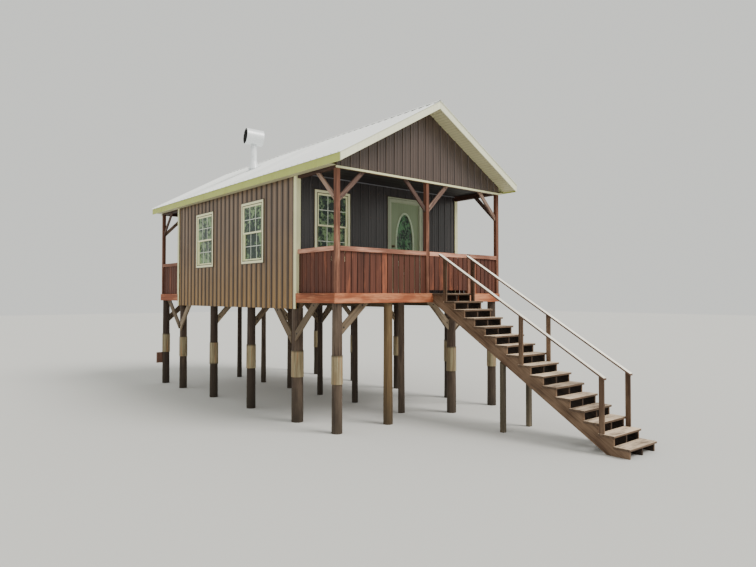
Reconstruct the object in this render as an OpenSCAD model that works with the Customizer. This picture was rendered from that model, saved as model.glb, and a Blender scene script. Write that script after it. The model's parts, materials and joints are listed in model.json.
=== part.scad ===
// Cabin on round poles with a front porch, a back porch and an open stair.
// Millimetres, +Z up. The front porch faces -Y and the ground is z = 0.
// The origin lies on the ground under the middle of the whole outline.
// Sub-parts are drawn in the house frame: x from the centreline, y from the
// front face of the porch rim towards the back, z from the top of the deck.

/* [House] */
// Width over the floor framing
house_w = 4870; // [4400:10:5400]
// Depth of the front porch
porch_d = 1390; // [1300:10:1700]
// Length of the cabin
cabin_l = 6250; // [5600:10:7400]
// Depth of the back porch
back_porch_d = 1330; // [1100:10:1700]
// Height of the porch deck above the ground
deck_h = 2688; // [2400:1:3000]
// Step up from the porch deck to the cabin floor
floor_step = 102; // [80:1:140]

/* [Roof] */
// Rise of the roof from the eaves to the ridge
roof_rise = 1480; // [1300:10:1800]
// Height of the eaves above the ceilings, on top of the roof boards
eave_lift = 92; // [80:1:140]
// How far each eave reaches past the wall
eave_out = 192; // [150:1:300]
// How far the roof reaches past the front gable
front_rake = 395; // [300:1:600]
// How far the roof reaches past the back gable
back_rake = 303; // [250:1:600]
// Thickness of the roof boards and rafters, square to the slope
roof_t = 115; // [90:1:120]
// Thickness of the flat part of a roof sheet
sheet_t = 4; // [2:1:6]
// Height of a roof rib above the sheet
roof_rib_h = 19; // [12:1:26]
// How far the roof sheets reach past the fascia
drip = 22; // [10:1:40]
// Depth of the fascia boards, measured plumb
fascia_h = 164; // [158:1:200]
// Thickness of the fascia boards
fascia_t = 22; // [16:1:30]
// Thickness of the soffits
soffit_t = 10; // [6:1:11]
// Width of one side of the ridge cap
ridge_cap_w = 170; // [120:5:240]

/* [Walls] */
// Thickness of a framed wall
wall_t = 115; // [100:1:150]
// Height of the ceilings above the head of the door frames
wall_over_door = 306; // [280:1:400]
// Thickness of the ceiling boards
ceiling_t = 12; // [9:1:20]
// Spacing of the siding ribs
rib_pitch = 228.6; // [150:0.1:305]
// Height of a siding rib above the flat of the sheet
rib_h = 16; // [10:1:20]
// How far the siding hangs below the deck
skirt = 324; // [310:1:360]
// Width of a corner trim on each face
corner_w = 95; // [80:1:160]
// Thickness of the corner and gable trims
trim_t = 12; // [8:1:20]
// Height of the trim along the foot of a gable
gable_trim_h = 38; // [30:1:90]

/* [Windows] */
// Width of a side window over its casing
side_win_w = 1035; // [900:5:1100]
// Height of a side window over its casing
side_win_h = 1423; // [1200:1:1600]
// Height of the foot of the side windows above the deck
side_win_z = 701; // [600:1:900]
// From the cabin's front wall to the middle of the first side window
side_win_1 = 1880; // [1400:10:2200]
// From the cabin's back wall to the middle of the second side window
side_win_2 = 1770; // [1400:10:2200]
// Width of a porch window over its casing
porch_win_w = 940; // [800:5:1000]
// Height of a porch window over its casing
porch_win_h = 1512; // [1300:1:1600]
// Height of the foot of the porch windows above the deck
porch_win_z = 700; // [600:1:900]
// From the left edge of the house to the middle of the porch window
porch_win_in = 906; // [800:1:1000]
// Width of a window's casing
casing_w = 55; // [45:1:90]
// Thickness of the casings outside the wall
casing_t = 26; // [22:1:34]
// Width of a sash member
sash_w = 36; // [30:1:60]

/* [Door] */
// Width of the door leaf
door_w = 914; // [800:1:960]
// Height of the door leaf
door_leaf_h = 2060; // [1980:1:2080]
// Thickness of the door leaf
door_t = 44; // [35:1:50]
// From the centreline to the middle of the door
door_x = 628; // [500:1:800]
// How far the door leaf stands behind the outer wall face
leaf_in = 15; // [10:1:60]
// Running gap round the door leaf
door_gap = 5; // [3:0.5:8]
// Thickness of the door jambs
jamb_t = 30; // [25:1:40]
// Width of the oval light
oval_w = 510; // [400:1:560]
// Height of the oval light
oval_h = 1000; // [800:1:1200]
// Height of the middle of the oval light above the deck
oval_z = 1420; // [1300:1:1500]
// Height of the knob above the deck
knob_z = 1120; // [1000:1:1200]

/* [Poles] */
// Diameter of the poles under the cabin's front corners, at their tops
corner_pole_d = 236; // [180:1:280]
// Diameter of the other outer poles, at their tops
pole_d = 196; // [160:1:260]
// Diameter of the middle poles, at their tops
middle_pole_d = 140; // [120:1:200]
// Widening of a pole on each side from its top to the ground
pole_flare = 10; // [0:1:20]
// Height of the top of the collars above the ground
collar_top = 1490; // [1300:10:1700]
// Height of the foot of the collars above the ground
collar_foot = 940; // [700:10:1100]
// Thickness of the collars
collar_t = 9; // [4:1:15]
// Height of the top of the board on the back-left pole above the ground
pole_board_top = 925; // [700:1:1100]
// Width of that board
pole_board_w = 260; // [200:5:320]
// Height of that board
pole_board_h = 320; // [240:5:400]

/* [Timber] */
// Thickness of a two-inch board
board_t = 38; // [32:1:45]
// Width of a four-inch timber
four = 89; // [80:1:100]
// Width of a six-inch timber
six = 140; // [120:1:150]
// Height of the porch rim boards
rim_h = 194; // [184:1:220]
// Thickness of the deck boards
deck_t = 25; // [20:1:38]
// Reach of a brace under the floor
pole_run = 560; // [400:10:700]
// Reach of a brace from a cabin corner's pole to a porch rim
porch_run = 740; // [600:10:800]
// How much further such a brace falls than it reaches
pole_drop = 60; // [0:10:200]
// Reach and fall of a brace on a porch post
post_run = 640; // [400:10:800]
// Number of deck boards on a porch
deck_boards = 9; // [8:1:12]
// Gap between deck boards
deck_gap = 5; // [3:1:10]
// Width of the paling boards in a railing
paling_w = 140; // [100:1:150]
// Gap between the paling boards, at most
paling_gap = 20; // [10:1:40]
// Thickness of the paling boards
paling_t = 19; // [16:1:25]
// Height of the top of the railings above the deck
rail_top = 905; // [850:5:1100]

/* [Gate] */
// From the centreline to the middle of the porch's middle post
mid_post_x = 10; // [0:5:120]
// From the centreline to the middle of the gate's closing post
gate_post_x = 1345; // [1300:5:1420]
// Gap between the gate and its posts
gate_gap = 16; // [14:1:24]
// Diameter of the pins of the gate's hinges
gate_pin_d = 14; // [10:1:18]

/* [Stair] */
// Number of treads
treads_n = 16; // [14:1:17]
// Going of one step
step_l = 270; // [240:1:300]
// Depth of a tread
tread_d = 290; // [280:1:320]
// Width of the treads
tread_w = 930; // [800:5:1000]
// From the centreline to the middle of the stair
stair_x = 606; // [560:1:640]
// Reach of the top tread from the porch rim
top_tread_d = 325; // [300:5:400]
// From the porch rim to the line on which the noses start
nose_start = 375; // [350:1:450]
// Depth of a stringer below the nosing line, measured plumb
stringer_drop = 430; // [380:5:480]
// Overhang of a tread past its stringer's riser cut
nosing = 25; // [10:1:40]
// Height of the handrail's upper end above the deck
handrail_z = 850; // [800:5:900]
// Fall of the handrail per millimetre of run
handrail_fall = 0.6; // [0.55:0.005:0.66]

/* [Vent] */
// Diameter of the roof vent's pipe
vent_d = 170; // [120:5:220]
// Distance of the roof vent from the front porch rim
vent_y = 5740; // [5000:10:6200]
// Distance of the roof vent from the centreline, to the left
vent_x = 1085; // [800:5:1300]
// Height of the pipe above the roof, on its middle line
vent_h = 675; // [400:5:800]
// Diameter of the barrel cap
barrel_d = 440; // [300:10:500]
// Length of the barrel cap
barrel_l = 480; // [400:10:800]
// Thickness of the barrel cap's wall
barrel_t = 4; // [2:1:8]
// Angle by which the barrel cap is turned, its right end towards the front
barrel_turn = 12; // [0:1:45]
// Angle by which the barrel cap leans down at its right end
barrel_tilt = 4; // [0:1:10]

/* [Hidden] */

$fn = 48;
eps = 0.5;
// Small gap left where a round or fitted piece sits in another
fit = 0.3;

half_w = house_w / 2;
cabin_y = porch_d;
cabin_back = porch_d + cabin_l;
house_l = cabin_back + back_porch_d;
rise = deck_h / treads_n;

door_rough_w = door_w + 2 * (door_gap + jamb_t);
door_foot = floor_step + door_gap;
door_head = door_foot + door_leaf_h + door_gap + jamb_t;
door_left = door_x - door_rough_w / 2;
door_right = door_x + door_rough_w / 2;

ceiling_h = door_head + wall_over_door;
eave_h = ceiling_h + eave_lift;
ridge_h = eave_h + roof_rise;
half_roof = half_w + eave_out;
slope = (ridge_h - eave_h) / half_roof;
pitch = atan(slope);
roof_front = -front_rake;
roof_back = house_l + back_rake;

stair_reach = nose_start + step_l * (treads_n - 1);
back_reach = house_l + back_rake + drip;
front_y = (stair_reach - back_reach) / 2;

skin_t = 3;
siding_out = skin_t + rib_h;
rim_out = siding_out + trim_t;
floor_t = 22;
floor_joist_h = 235;
frame_z = floor_step - floor_t - floor_joist_h;
girder_h = 160;
girder_z = frame_z - girder_h;
deck_under = -deck_t;
joist_h = six;
joist_z = deck_under - joist_h;
header_top = ceiling_h + 23;
header_z = header_top - six;

// Rows of poles, measured from the porch rim
pole_in = 120;
corner_row = 137;
cabin_row = 146;
back_row = 75;
front_middle_row = 836;
back_middle_row = 334;
back_wall_row = 65;
row_1 = cabin_y + cabin_row;
row_4 = cabin_back - back_wall_row;
row_step = (row_4 - row_1) / 3;
joists_a_bay = 4;
joist_step = row_step / joists_a_bay;
outer_rows = [corner_row, row_1, row_1 + row_step, row_1 + 2 * row_step, row_4, house_l - back_row];
middle_rows = [for (i = [2, 5, 8, 11]) row_1 + i * joist_step];
porch_rows = [front_middle_row, house_l - back_middle_row];
front_pole_x = 895;
bare_post_x = -1015;
bare_post_d = 180;

stain = [0.55, 0.27, 0.19];
weathered = [0.42, 0.34, 0.28];
brown_metal = [0.40, 0.31, 0.26];
cream = [0.90, 0.88, 0.78];

function plumb(t) = t / cos(pitch);
function roof_z(x) = ridge_h - slope * abs(x);
function under_roof(x) = roof_z(x) - plumb(roof_t);
function pole_r(d, top, z) = d / 2 + pole_flare * (top - z) / (top + deck_h);
function nose_y(k) = k == 0 ? -top_tread_d : -(nose_start + step_l * k);
function nose_line(y) = -rise * (-y - nose_start) / step_l;

// Puts a sub-part drawn in the house frame into the part's own frame
module place() translate([0, front_y, deck_h]) children();

// Box between two opposite corners
module box(a, b) translate(a) cube(b - a);

// Outline in x and z, drawn out along y from y0 to y1
module along_y(y0, y1) translate([0, y1, 0]) rotate([90, 0, 0]) linear_extrude(y1 - y0) children();

// Outline in y and z, drawn out along x from x0 to x1
module along_x(x0, x1) translate([x0, 0, 0]) rotate([90, 0, 90]) linear_extrude(x1 - x0) children();

// Both sides of the house
module both_sides() {
  children();
  mirror([1, 0, 0]) children();
}

// Turns a shape on the front porch end for end, onto the back porch
module at_back() translate([0, house_l, 0]) mirror([0, 1, 0]) children();

// Poles and posts

module pole(x, y, d, top) {
  translate([x, y, -deck_h]) cylinder(h = deck_h + top, d1 = d + 2 * pole_flare, d2 = d);
}

function outer_d(i) = i == 1 ? corner_pole_d : pole_d;
// The poles behind the front rim reach up to the deck boards, the others to the beams
function outer_top(i) = i == 0 ? deck_under : i == 5 ? -rim_h : girder_z;

module poles() color(weathered) place() {
  both_sides()
    for (i = [0:5]) pole(-half_w + pole_in, outer_rows[i], outer_d(i), outer_top(i));
  for (y = middle_rows) pole(0, y, middle_pole_d, girder_z);
  for (y = porch_rows) pole(0, y, middle_pole_d, joist_z);
  pole(front_pole_x, corner_row, pole_d, joist_z);
}

module bare_post() color([0.52, 0.42, 0.30]) place()
  pole(bare_post_x, corner_row, bare_post_d, deck_under);

// How much lower the collars of an outer row were fixed, from front to back
collar_drops = [0, 0, 0, 75, 30, 0];

// Collar of a round pole whose top is at pole_top
module collar(x, y, d, pole_top, drop = 0) {
  foot = collar_foot - drop - deck_h;
  h = collar_top - collar_foot;
  r_foot = pole_r(d, pole_top, foot) + fit;
  r_top = pole_r(d, pole_top, foot + h) + fit;
  translate([x, y, foot]) difference() {
    cylinder(h = h, r1 = r_foot + collar_t, r2 = r_top + collar_t);
    translate([0, 0, -eps]) cylinder(h = h + 2 * eps, r1 = r_foot, r2 = r_top);
  }
}

module pole_collars() color([0.66, 0.56, 0.44]) place() {
  both_sides()
    for (i = [0:5])
      collar(-half_w + pole_in, outer_rows[i], outer_d(i), outer_top(i), collar_drops[i]);
  collar(front_pole_x, corner_row, pole_d, joist_z);
}

// Square board fixed to the back of the back-left pole
module pole_board() color([0.50, 0.30, 0.24]) place() {
  top = pole_board_top - deck_h;
  r = pole_r(pole_d, -rim_h, top - pole_board_h);
  left = -half_w + pole_in - r - pole_board_w * 0.55;
  y = outer_rows[5] + r;
  box([left, y, top - pole_board_h], [left + pole_board_w, y + paling_t, top]);
}

// Slanted brace in the corner between a post and the beam over it.
// It is drawn with the corner at the origin, reaching towards +x and down.
module knee(run, drop, w, t) {
  length = sqrt(run * run + drop * drop);
  foot = w * length / run;
  head = w * length / drop;
  translate([0, t / 2, 0]) rotate([90, 0, 0]) linear_extrude(t)
    polygon([[0, -drop], [0, foot - drop], [run - head, 0], [run, 0]]);
}

// Brace at a round pole whose top is at pole_top. It reaches up to a beam at z,
// in the direction turn. side moves it off the pole's middle, to the left of its reach.
module pole_knee(x, y, d, pole_top, z, run, turn, side = 0) {
  drop = run + pole_drop;
  r = pole_r(d, pole_top, z - drop);
  near = max(abs(side) - board_t / 2, 0);
  translate([x, y, z]) rotate([0, 0, turn])
    translate([sqrt(r * r - near * near), side, 0]) knee(run, drop, six, board_t);
}

module under_braces() color([0.50, 0.40, 0.32]) place() {
  x = -half_w + pole_in;
  rim_side = pole_in - board_t / 2;
  both_sides() {
    pole_knee(x, outer_rows[0], outer_d(0), outer_top(0), -rim_h, pole_run, 0);
    pole_knee(x, outer_rows[1], outer_d(1), girder_z, -rim_h, porch_run, -90, -rim_side);
    pole_knee(x, outer_rows[1], outer_d(1), girder_z, girder_z, pole_run, 90);
    for (i = [2, 3]) pole_knee(x, outer_rows[i], pole_d, girder_z, frame_z, pole_run, 0);
    pole_knee(x, outer_rows[4], pole_d, girder_z, girder_z, pole_run, -90);
    pole_knee(x, outer_rows[4], pole_d, girder_z, -rim_h, porch_run, 90, rim_side);
    pole_knee(x, outer_rows[5], pole_d, -rim_h, -rim_h, pole_run, 0);
  }
  for (turn = [0, 180]) {
    pole_knee(front_pole_x, corner_row, pole_d, joist_z, -rim_h, pole_run, turn);
    for (i = [1, 2]) pole_knee(0, middle_rows[i], middle_pole_d, girder_z, frame_z, pole_run, turn);
  }
}

// Floors

module floor_girders() color([0.45, 0.35, 0.28]) place() {
  for (x = [-half_w + pole_in, 0, half_w - pole_in])
    box([x - board_t, cabin_y, girder_z], [x + board_t, cabin_back, frame_z]);
}

// Boards of the cabin's floor frame, each its own piece, nailed end to face
module cabin_floor_frame() color([0.50, 0.39, 0.30]) place() {
  top = frame_z + floor_joist_h;
  inner = half_w - board_t - fit;
  both_sides() box([-half_w, cabin_y, frame_z], [-half_w + board_t, cabin_back, top]);
  for (y = [cabin_y, cabin_back - board_t]) box([-inner, y, frame_z], [inner, y + board_t, top]);
  for (i = [0:3 * joists_a_bay]) {
    y = row_1 + i * joist_step;
    box([-inner, y - board_t / 2, frame_z], [inner, y + board_t / 2, top]);
  }
}

module cabin_floor() color([0.62, 0.50, 0.36]) place()
  box([-half_w, cabin_y, floor_step - floor_t], [half_w, cabin_back, floor_step]);

// Rim boards and joists of a porch, front porch position.
// The rim boards at the sides stand out to the face of the corner trims.
module porch_frame(depth) {
  reach = half_w + rim_out;
  box([-reach, 0, -rim_h], [reach, board_t, 0]);
  both_sides() box([-reach, board_t + fit, -rim_h], [-reach + board_t, depth - fit, 0]);
  step = (reach - board_t) / 6;
  for (i = [-5:5])
    box([i * step - board_t / 2, board_t + fit, joist_z], [i * step + board_t / 2, depth - fit, deck_under]);
}

module front_porch_frame() color(stain) place() porch_frame(porch_d);

module back_porch_frame() color(stain) place() at_back() porch_frame(back_porch_d);

// Deck boards of a porch, laid between the rim boards
module porch_deck(depth) {
  inner = depth - board_t - fit;
  pitch_y = inner / deck_boards;
  reach = half_w + rim_out - board_t - fit;
  for (i = [0:deck_boards - 1])
    box([-reach, board_t + fit + i * pitch_y, deck_under],
        [reach, board_t + fit + (i + 1) * pitch_y - deck_gap, 0]);
}

module porch_decks() color([0.47, 0.36, 0.29]) place() {
  porch_deck(porch_d);
  at_back() porch_deck(back_porch_d);
}

// Walls

// Puts a fitting drawn for the front wall at the middle of an opening:
// its outer wall face is y = 0, outside is -y and its foot is z = 0.
module on_left(y, z) translate([-half_w, y, z]) rotate([0, 0, -90]) children();
module on_front(x, z) translate([x, cabin_y, z]) children();
module on_back(x, z) translate([x, cabin_back, z]) rotate([0, 0, 180]) children();

module left_window_places()
  for (y = [cabin_y + side_win_1, cabin_back - side_win_2]) on_left(y, side_win_z) children();

porch_win_x = -half_w + porch_win_in;

// Hole for a window through the framed wall
module window_hole(w, h) {
  box([-w / 2 + casing_w, -1, casing_w], [w / 2 - casing_w, wall_t + 1, h - casing_w]);
}

// Hole for a window's casing through the siding
module casing_hole(w, h) {
  box([-w / 2 - fit, -siding_out - 1, -fit], [w / 2 + fit, 1, h + fit]);
}

module left_wall() color([0.70, 0.60, 0.46]) place() difference() {
  along_y(cabin_y, cabin_back)
    polygon([
      [-half_w, floor_step], [-half_w + wall_t, floor_step],
      [-half_w + wall_t, under_roof(half_w - wall_t)], [-half_w, under_roof(half_w)]
    ]);
  left_window_places() window_hole(side_win_w, side_win_h);
}

module right_wall() mirror([1, 0, 0]) left_wall();

inner_w = half_w - wall_t;

module end_wall(x0, x1, z0) {
  box([x0, 0, z0], [x1, wall_t, ceiling_h]);
}

module front_wall_left() color([0.70, 0.60, 0.46]) place() difference() {
  translate([0, cabin_y, 0]) end_wall(-inner_w, door_left, floor_step);
  on_front(porch_win_x, porch_win_z) window_hole(porch_win_w, porch_win_h);
}

module front_wall_right() color([0.70, 0.60, 0.46]) place()
  translate([0, cabin_y, 0]) end_wall(door_right, inner_w, floor_step);

module front_wall_over_door() color([0.70, 0.60, 0.46]) place()
  translate([0, cabin_y, 0]) end_wall(door_left, door_right, door_head);

module back_wall() color([0.70, 0.60, 0.46]) place() difference() {
  translate([0, cabin_back - wall_t, 0]) end_wall(-inner_w, inner_w, floor_step);
  on_back(-porch_win_x, porch_win_z) window_hole(porch_win_w, porch_win_h);
  box([-door_right, cabin_back - wall_t - 1, floor_step - 1], [-door_left, cabin_back + 1, door_head]);
}

// Ribbed sheet, drawn flat: u along the wall, outside towards +y
module ribbed(length, height, pitch, thick, h, foot, crest, first) {
  count = floor((length - first - foot / 2) / pitch) + 1;
  ribs = [for (i = [0:count - 1], p = [[-foot, 0], [-crest, h], [crest, h], [foot, 0]])
    [first + i * pitch + p[0] / 2, thick + p[1]]];
  linear_extrude(height)
    polygon(concat([[0, 0], [0, thick]], ribs, [[length, thick], [length, 0]]));
}

rib_foot = 46;
rib_crest = 20;

module wall_sheet(length, height)
  ribbed(length, height, rib_pitch, skin_t, rib_h, rib_foot, rib_crest, rib_pitch / 2);

eave_soffit_z = roof_z(half_roof) - fascia_h + soffit_t;

module left_siding() color(brown_metal) place() difference() {
  translate([-half_w, cabin_y, -skirt]) rotate([0, 0, 90]) wall_sheet(cabin_l, eave_soffit_z + skirt);
  left_window_places() casing_hole(side_win_w, side_win_h);
}

module right_siding() mirror([1, 0, 0]) left_siding();

// Siding of an end wall over the porch deck, front wall position
module porch_siding() difference() {
  translate([-half_w, cabin_y, 0]) mirror([0, 1, 0]) wall_sheet(house_w, ceiling_h);
  on_front(porch_win_x, porch_win_z) casing_hole(porch_win_w, porch_win_h);
  box([door_left - door_casing_over - fit, cabin_y - siding_out - 1, -1],
      [door_right + door_casing_over + fit, cabin_y + 1, door_head + door_casing_over + fit]);
  both_sides() box([-half_w - 1, cabin_y - siding_out - 1, header_z - fit],
                   [-half_w + four + fit, cabin_y + 1, header_top]);
}

module front_siding() color(brown_metal) place() porch_siding();

module back_siding() color(brown_metal) place()
  translate([0, cabin_y + cabin_back, 0]) rotate([0, 0, 180]) porch_siding();

// Triangle under the roof boards, from a given height up
module gable_outline(z0, inset) {
  foot = (ridge_h - plumb(roof_t) - inset - z0) / slope;
  polygon([[-foot, z0], [foot, z0], [0, ridge_h - plumb(roof_t) - inset]]);
}

gable_t = 2 * board_t;

module gable_wall() along_y(0, gable_t)
  intersection() {
    gable_outline(header_top, 0);
    translate([-half_w + four, 0]) square([house_w - 2 * four, ridge_h]);
  }

module gable_walls() color([0.62, 0.50, 0.38]) place() {
  gable_wall();
  at_back() gable_wall();
}

module gable_sheet() intersection() {
  translate([-half_w, 0, header_z + gable_trim_h]) mirror([0, 1, 0]) wall_sheet(house_w, ridge_h);
  along_y(-siding_out - 1, 1) gable_outline(0, soffit_t / cos(pitch));
}

module gable_siding() color(brown_metal) place() {
  gable_sheet();
  at_back() gable_sheet();
}

// Cream trims

// Trim folded round the front-left corner of the cabin
module corner_trim() {
  out = siding_out;
  translate([-half_w, cabin_y, -skirt]) difference() {
    linear_extrude(eave_soffit_z + skirt)
      polygon([
        [-out - trim_t, -out - trim_t], [corner_w - out, -out - trim_t], [corner_w - out, -out],
        [-out, -out], [-out, corner_w - out], [-out - trim_t, corner_w - out]
      ]);
    box([-rim_out - 1, -rim_out - 1, -1], [corner_w, 0, skirt]);
    box([0, -out - trim_t - 1, header_z + skirt], [corner_w, 0, header_top + skirt]);
  }
}

module corner_trims() color(cream) place() both_sides() {
  corner_trim();
  translate([0, cabin_y + cabin_back, 0]) mirror([0, 1, 0]) corner_trim();
}

module gable_trim() {
  w = half_w + siding_out;
  box([-w, -siding_out - trim_t, header_z], [w, 0, header_z + gable_trim_h]);
}

module gable_trims() color(cream) place() {
  gable_trim();
  at_back() gable_trim();
}

// Windows

// Four members of a rectangular frame, each its own piece
module ring(w, h, z, member, y0, y1) {
  inner = w / 2 - member;
  both_sides() box([inner, y0, z], [w / 2, y1, z + h]);
  for (foot = [z, z + h - member])
    box([-inner + fit, y0, foot], [inner - fit, y1, foot + member]);
}

win_jamb = 16;
sash_y = -14;
sash_t = 30;

module window_unit(w, h) {
  open_w = w - 2 * casing_w;
  open_h = h - 2 * casing_w;
  inner_w = open_w - 2 * win_jamb;
  inner_h = open_h - 2 * win_jamb;
  half_h = inner_h / 2 + sash_w / 2;
  foot = casing_w + win_jamb;
  ring(w, h, 0, casing_w, -casing_t, 0);
  ring(open_w - 2 * fit, open_h - 2 * fit, casing_w + fit, win_jamb - fit, -casing_t, wall_t);
  ring(inner_w - 2 * fit, half_h - fit, foot + inner_h - half_h, sash_w - fit, sash_y, sash_y + sash_t);
  ring(inner_w - 2 * fit, half_h - fit, foot + fit,
       sash_w - fit, sash_y + sash_t + fit, sash_y + 2 * sash_t);
}

pane_t = 6;

module window_glass(w, h) {
  inner_w = w - 2 * casing_w - 2 * win_jamb;
  inner_h = h - 2 * casing_w - 2 * win_jamb;
  half_h = inner_h / 2 + sash_w / 2;
  foot = casing_w + win_jamb;
  pane_w = inner_w - 2 * sash_w - 2 * fit;
  pane_h = half_h - 2 * sash_w - 2 * fit;
  for (low = [0, 1])
    translate([-pane_w / 2, sash_y + low * sash_t + (sash_t - pane_t) / 2,
               foot + sash_w + fit + (1 - low) * (inner_h - half_h)])
      cube([pane_w, pane_t, pane_h]);
}

module window_frames() color([0.93, 0.92, 0.86]) place() {
  both_sides() left_window_places() window_unit(side_win_w, side_win_h);
  on_front(porch_win_x, porch_win_z) window_unit(porch_win_w, porch_win_h);
  on_back(-porch_win_x, porch_win_z) window_unit(porch_win_w, porch_win_h);
}

module window_panes() color([0.25, 0.32, 0.30, 0.5]) place() {
  both_sides() left_window_places() window_glass(side_win_w, side_win_h);
  on_front(porch_win_x, porch_win_z) window_glass(porch_win_w, porch_win_h);
  on_back(-porch_win_x, porch_win_z) window_glass(porch_win_w, porch_win_h);
}

// Doors. Drawn for the front wall: middle of the leaf x = 0, outer wall face y = 0.

door_casing_over = 75;
leaf_y = leaf_in;
frame_back = leaf_y + door_t;
stop_t = 12;

stop_back = leaf_y - door_gap;
stop_front = stop_back - stop_t;

// Jamb, stop and casing at each side, then at the head, and the step board below
module door_surround() {
  half = door_rough_w / 2;
  inner = half - jamb_t;
  head = door_head - jamb_t;
  clear = inner - fit;
  casing_top = door_head + door_casing_over;
  both_sides() {
    box([inner, -casing_t, floor_step], [half, frame_back, door_head]);
    box([inner - stop_t, stop_front, floor_step], [inner, stop_back, head - fit]);
    box([half, -casing_t, 0], [half + door_casing_over, 0, casing_top]);
  }
  box([-clear, -casing_t, head], [clear, frame_back, door_head]);
  box([-clear + stop_t, stop_front, head - stop_t], [clear - stop_t, stop_back, head]);
  box([-half + fit, -casing_t, door_head + fit], [half - fit, 0, casing_top]);
  box([-half + fit, -casing_t, 0], [half - fit, 0, floor_step - fit]);
}

module oval(w, h) scale([w / h, 1]) circle(d = h);

module door_leaf() {
  difference() {
    union() {
      box([-door_w / 2, leaf_y, door_foot], [door_w / 2, leaf_y + door_t, door_foot + door_leaf_h]);
      translate([0, 0, oval_z]) along_y(leaf_y - 9, leaf_y + 1) oval(oval_w + 90, oval_h + 90);
    }
    translate([0, 0, oval_z]) along_y(leaf_y - 20, leaf_y + door_t + 1) oval(oval_w, oval_h);
  }
}

module front_door_frame() color([0.88, 0.88, 0.80]) place() on_front(door_x, 0) door_surround();

module front_door() color([0.80, 0.82, 0.74]) place() on_front(door_x, 0) door_leaf();

module oval_glass() {
  glass_t = 12;
  translate([0, 0, oval_z])
    along_y(leaf_y + (door_t - glass_t) / 2, leaf_y + (door_t + glass_t) / 2) oval(oval_w, oval_h);
}

module door_glass() color([0.20, 0.30, 0.27, 0.6]) place() on_front(door_x, 0) oval_glass();

knob_in = 70;

// Knob, stem and rose turned on one line through the leaf
module knob_shape() {
  for (s = [-1, 1])
    translate([0, s > 0 ? leaf_y + door_t : leaf_y, 0]) rotate([-90 * s, 0, 0]) rotate_extrude()
      polygon([
        [0, 0], [32, 0], [32, 6], [13, 10], [11, 30], [24, 38], [28, 50], [25, 62], [12, 68], [0, 69]
      ]);
}

module door_knob() color([0.72, 0.62, 0.40]) place()
  on_front(door_x, 0) translate([-door_w / 2 + knob_in, 0, knob_z]) knob_shape();

// Door hinges stand on the room side, on the jamb edge and the leaf's face

hinge_pin_d = 8;
hinge_eye_r = 8;
hinge_h = 100;
hinge_plate_t = 3;
hinge_x = door_w / 2 + door_gap / 2;
hinge_face = hinge_eye_r + 1;
hinge_y = frame_back + hinge_face;
door_hinge_zs = [for (f = [0.12, 0.5, 0.88]) door_foot + door_leaf_h * f];

// Pin with a plate on the jamb and the two outer knuckles
module hinge_fixed(z) translate([hinge_x, hinge_y, z]) {
  cylinder(h = hinge_h, d = hinge_pin_d, center = true);
  for (s = [-1, 1])
    translate([0, 0, s * hinge_h * 0.35]) {
      cylinder(h = hinge_h * 0.3 - fit, r = hinge_eye_r, center = true);
      box([0, -hinge_face, -hinge_h * 0.15 + fit / 2],
          [jamb_t, hinge_plate_t - hinge_face, hinge_h * 0.15 - fit / 2]);
    }
}

module hinge_moving(z) translate([hinge_x, hinge_y, z]) difference() {
  union() {
    cylinder(h = hinge_h * 0.4 - fit, r = hinge_eye_r, center = true);
    box([-40, -hinge_face, -hinge_h * 0.2 + fit], [0, hinge_plate_t - hinge_face, hinge_h * 0.2 - fit]);
  }
  cylinder(h = hinge_h, d = hinge_pin_d + 2 * fit, center = true);
}

module door_hinge_pins() color([0.70, 0.66, 0.55]) place()
  on_front(door_x, 0) for (z = door_hinge_zs) hinge_fixed(z);

module door_hinge_leaves() color([0.70, 0.66, 0.55]) place()
  on_front(door_x, 0) for (z = door_hinge_zs) hinge_moving(z);

module back_door() color([0.80, 0.82, 0.74]) place() on_back(-door_x, 0) {
  door_surround();
  difference() {
    box([-door_w / 2 - door_gap, leaf_y, floor_step],
        [door_w / 2 + door_gap, leaf_y + door_t, door_head - jamb_t]);
    for (z = [oval_z - oval_h / 2, oval_z + 60])
      box([-oval_w / 2, leaf_y - 1, z], [oval_w / 2, leaf_y + 12, z + oval_h / 2 - 60]);
  }
}

// Porches

post_x = half_w - four / 2;

module square_post(x, y, z0, z1) box([x - four / 2, y, z0], [x + four / 2, y + four, z1]);

module porch_row() {
  for (x = [-post_x, mid_post_x, post_x]) square_post(x, 0, 0, header_z);
}

module porch_posts() color(stain) place() {
  porch_row();
  at_back() porch_row();
  square_post(gate_post_x, 0, 0, rail_top);
}

module porch_knees() {
  for (s = [-1, 1]) {
    translate([mid_post_x + s * four / 2, four / 2, header_z])
      rotate([0, 0, s > 0 ? 0 : 180]) knee(post_run, post_run, four, board_t);
    translate([s * (post_x - four / 2), four / 2, header_z])
      rotate([0, 0, s > 0 ? 180 : 0]) knee(post_run, post_run, four, board_t);
    translate([s * post_x, four, header_z])
      rotate([0, 0, 90]) knee(post_run, post_run, four, board_t);
  }
}

module porch_braces() color(stain) place() {
  porch_knees();
  at_back() porch_knees();
}

// Beam round a porch: one beam across the front and one along each side
module porch_header(depth) {
  box([-half_w + four + fit, 0, header_z], [half_w - four - fit, gable_t, header_top]);
  both_sides() along_y(0, depth)
    polygon([
      [-half_w, header_z], [-half_w + four, header_z],
      [-half_w + four, under_roof(half_w - four) - fit], [-half_w, under_roof(half_w) - fit]
    ]);
}

module porch_headers() color(stain) place() {
  porch_header(porch_d);
  at_back() porch_header(back_porch_d);
}

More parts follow.
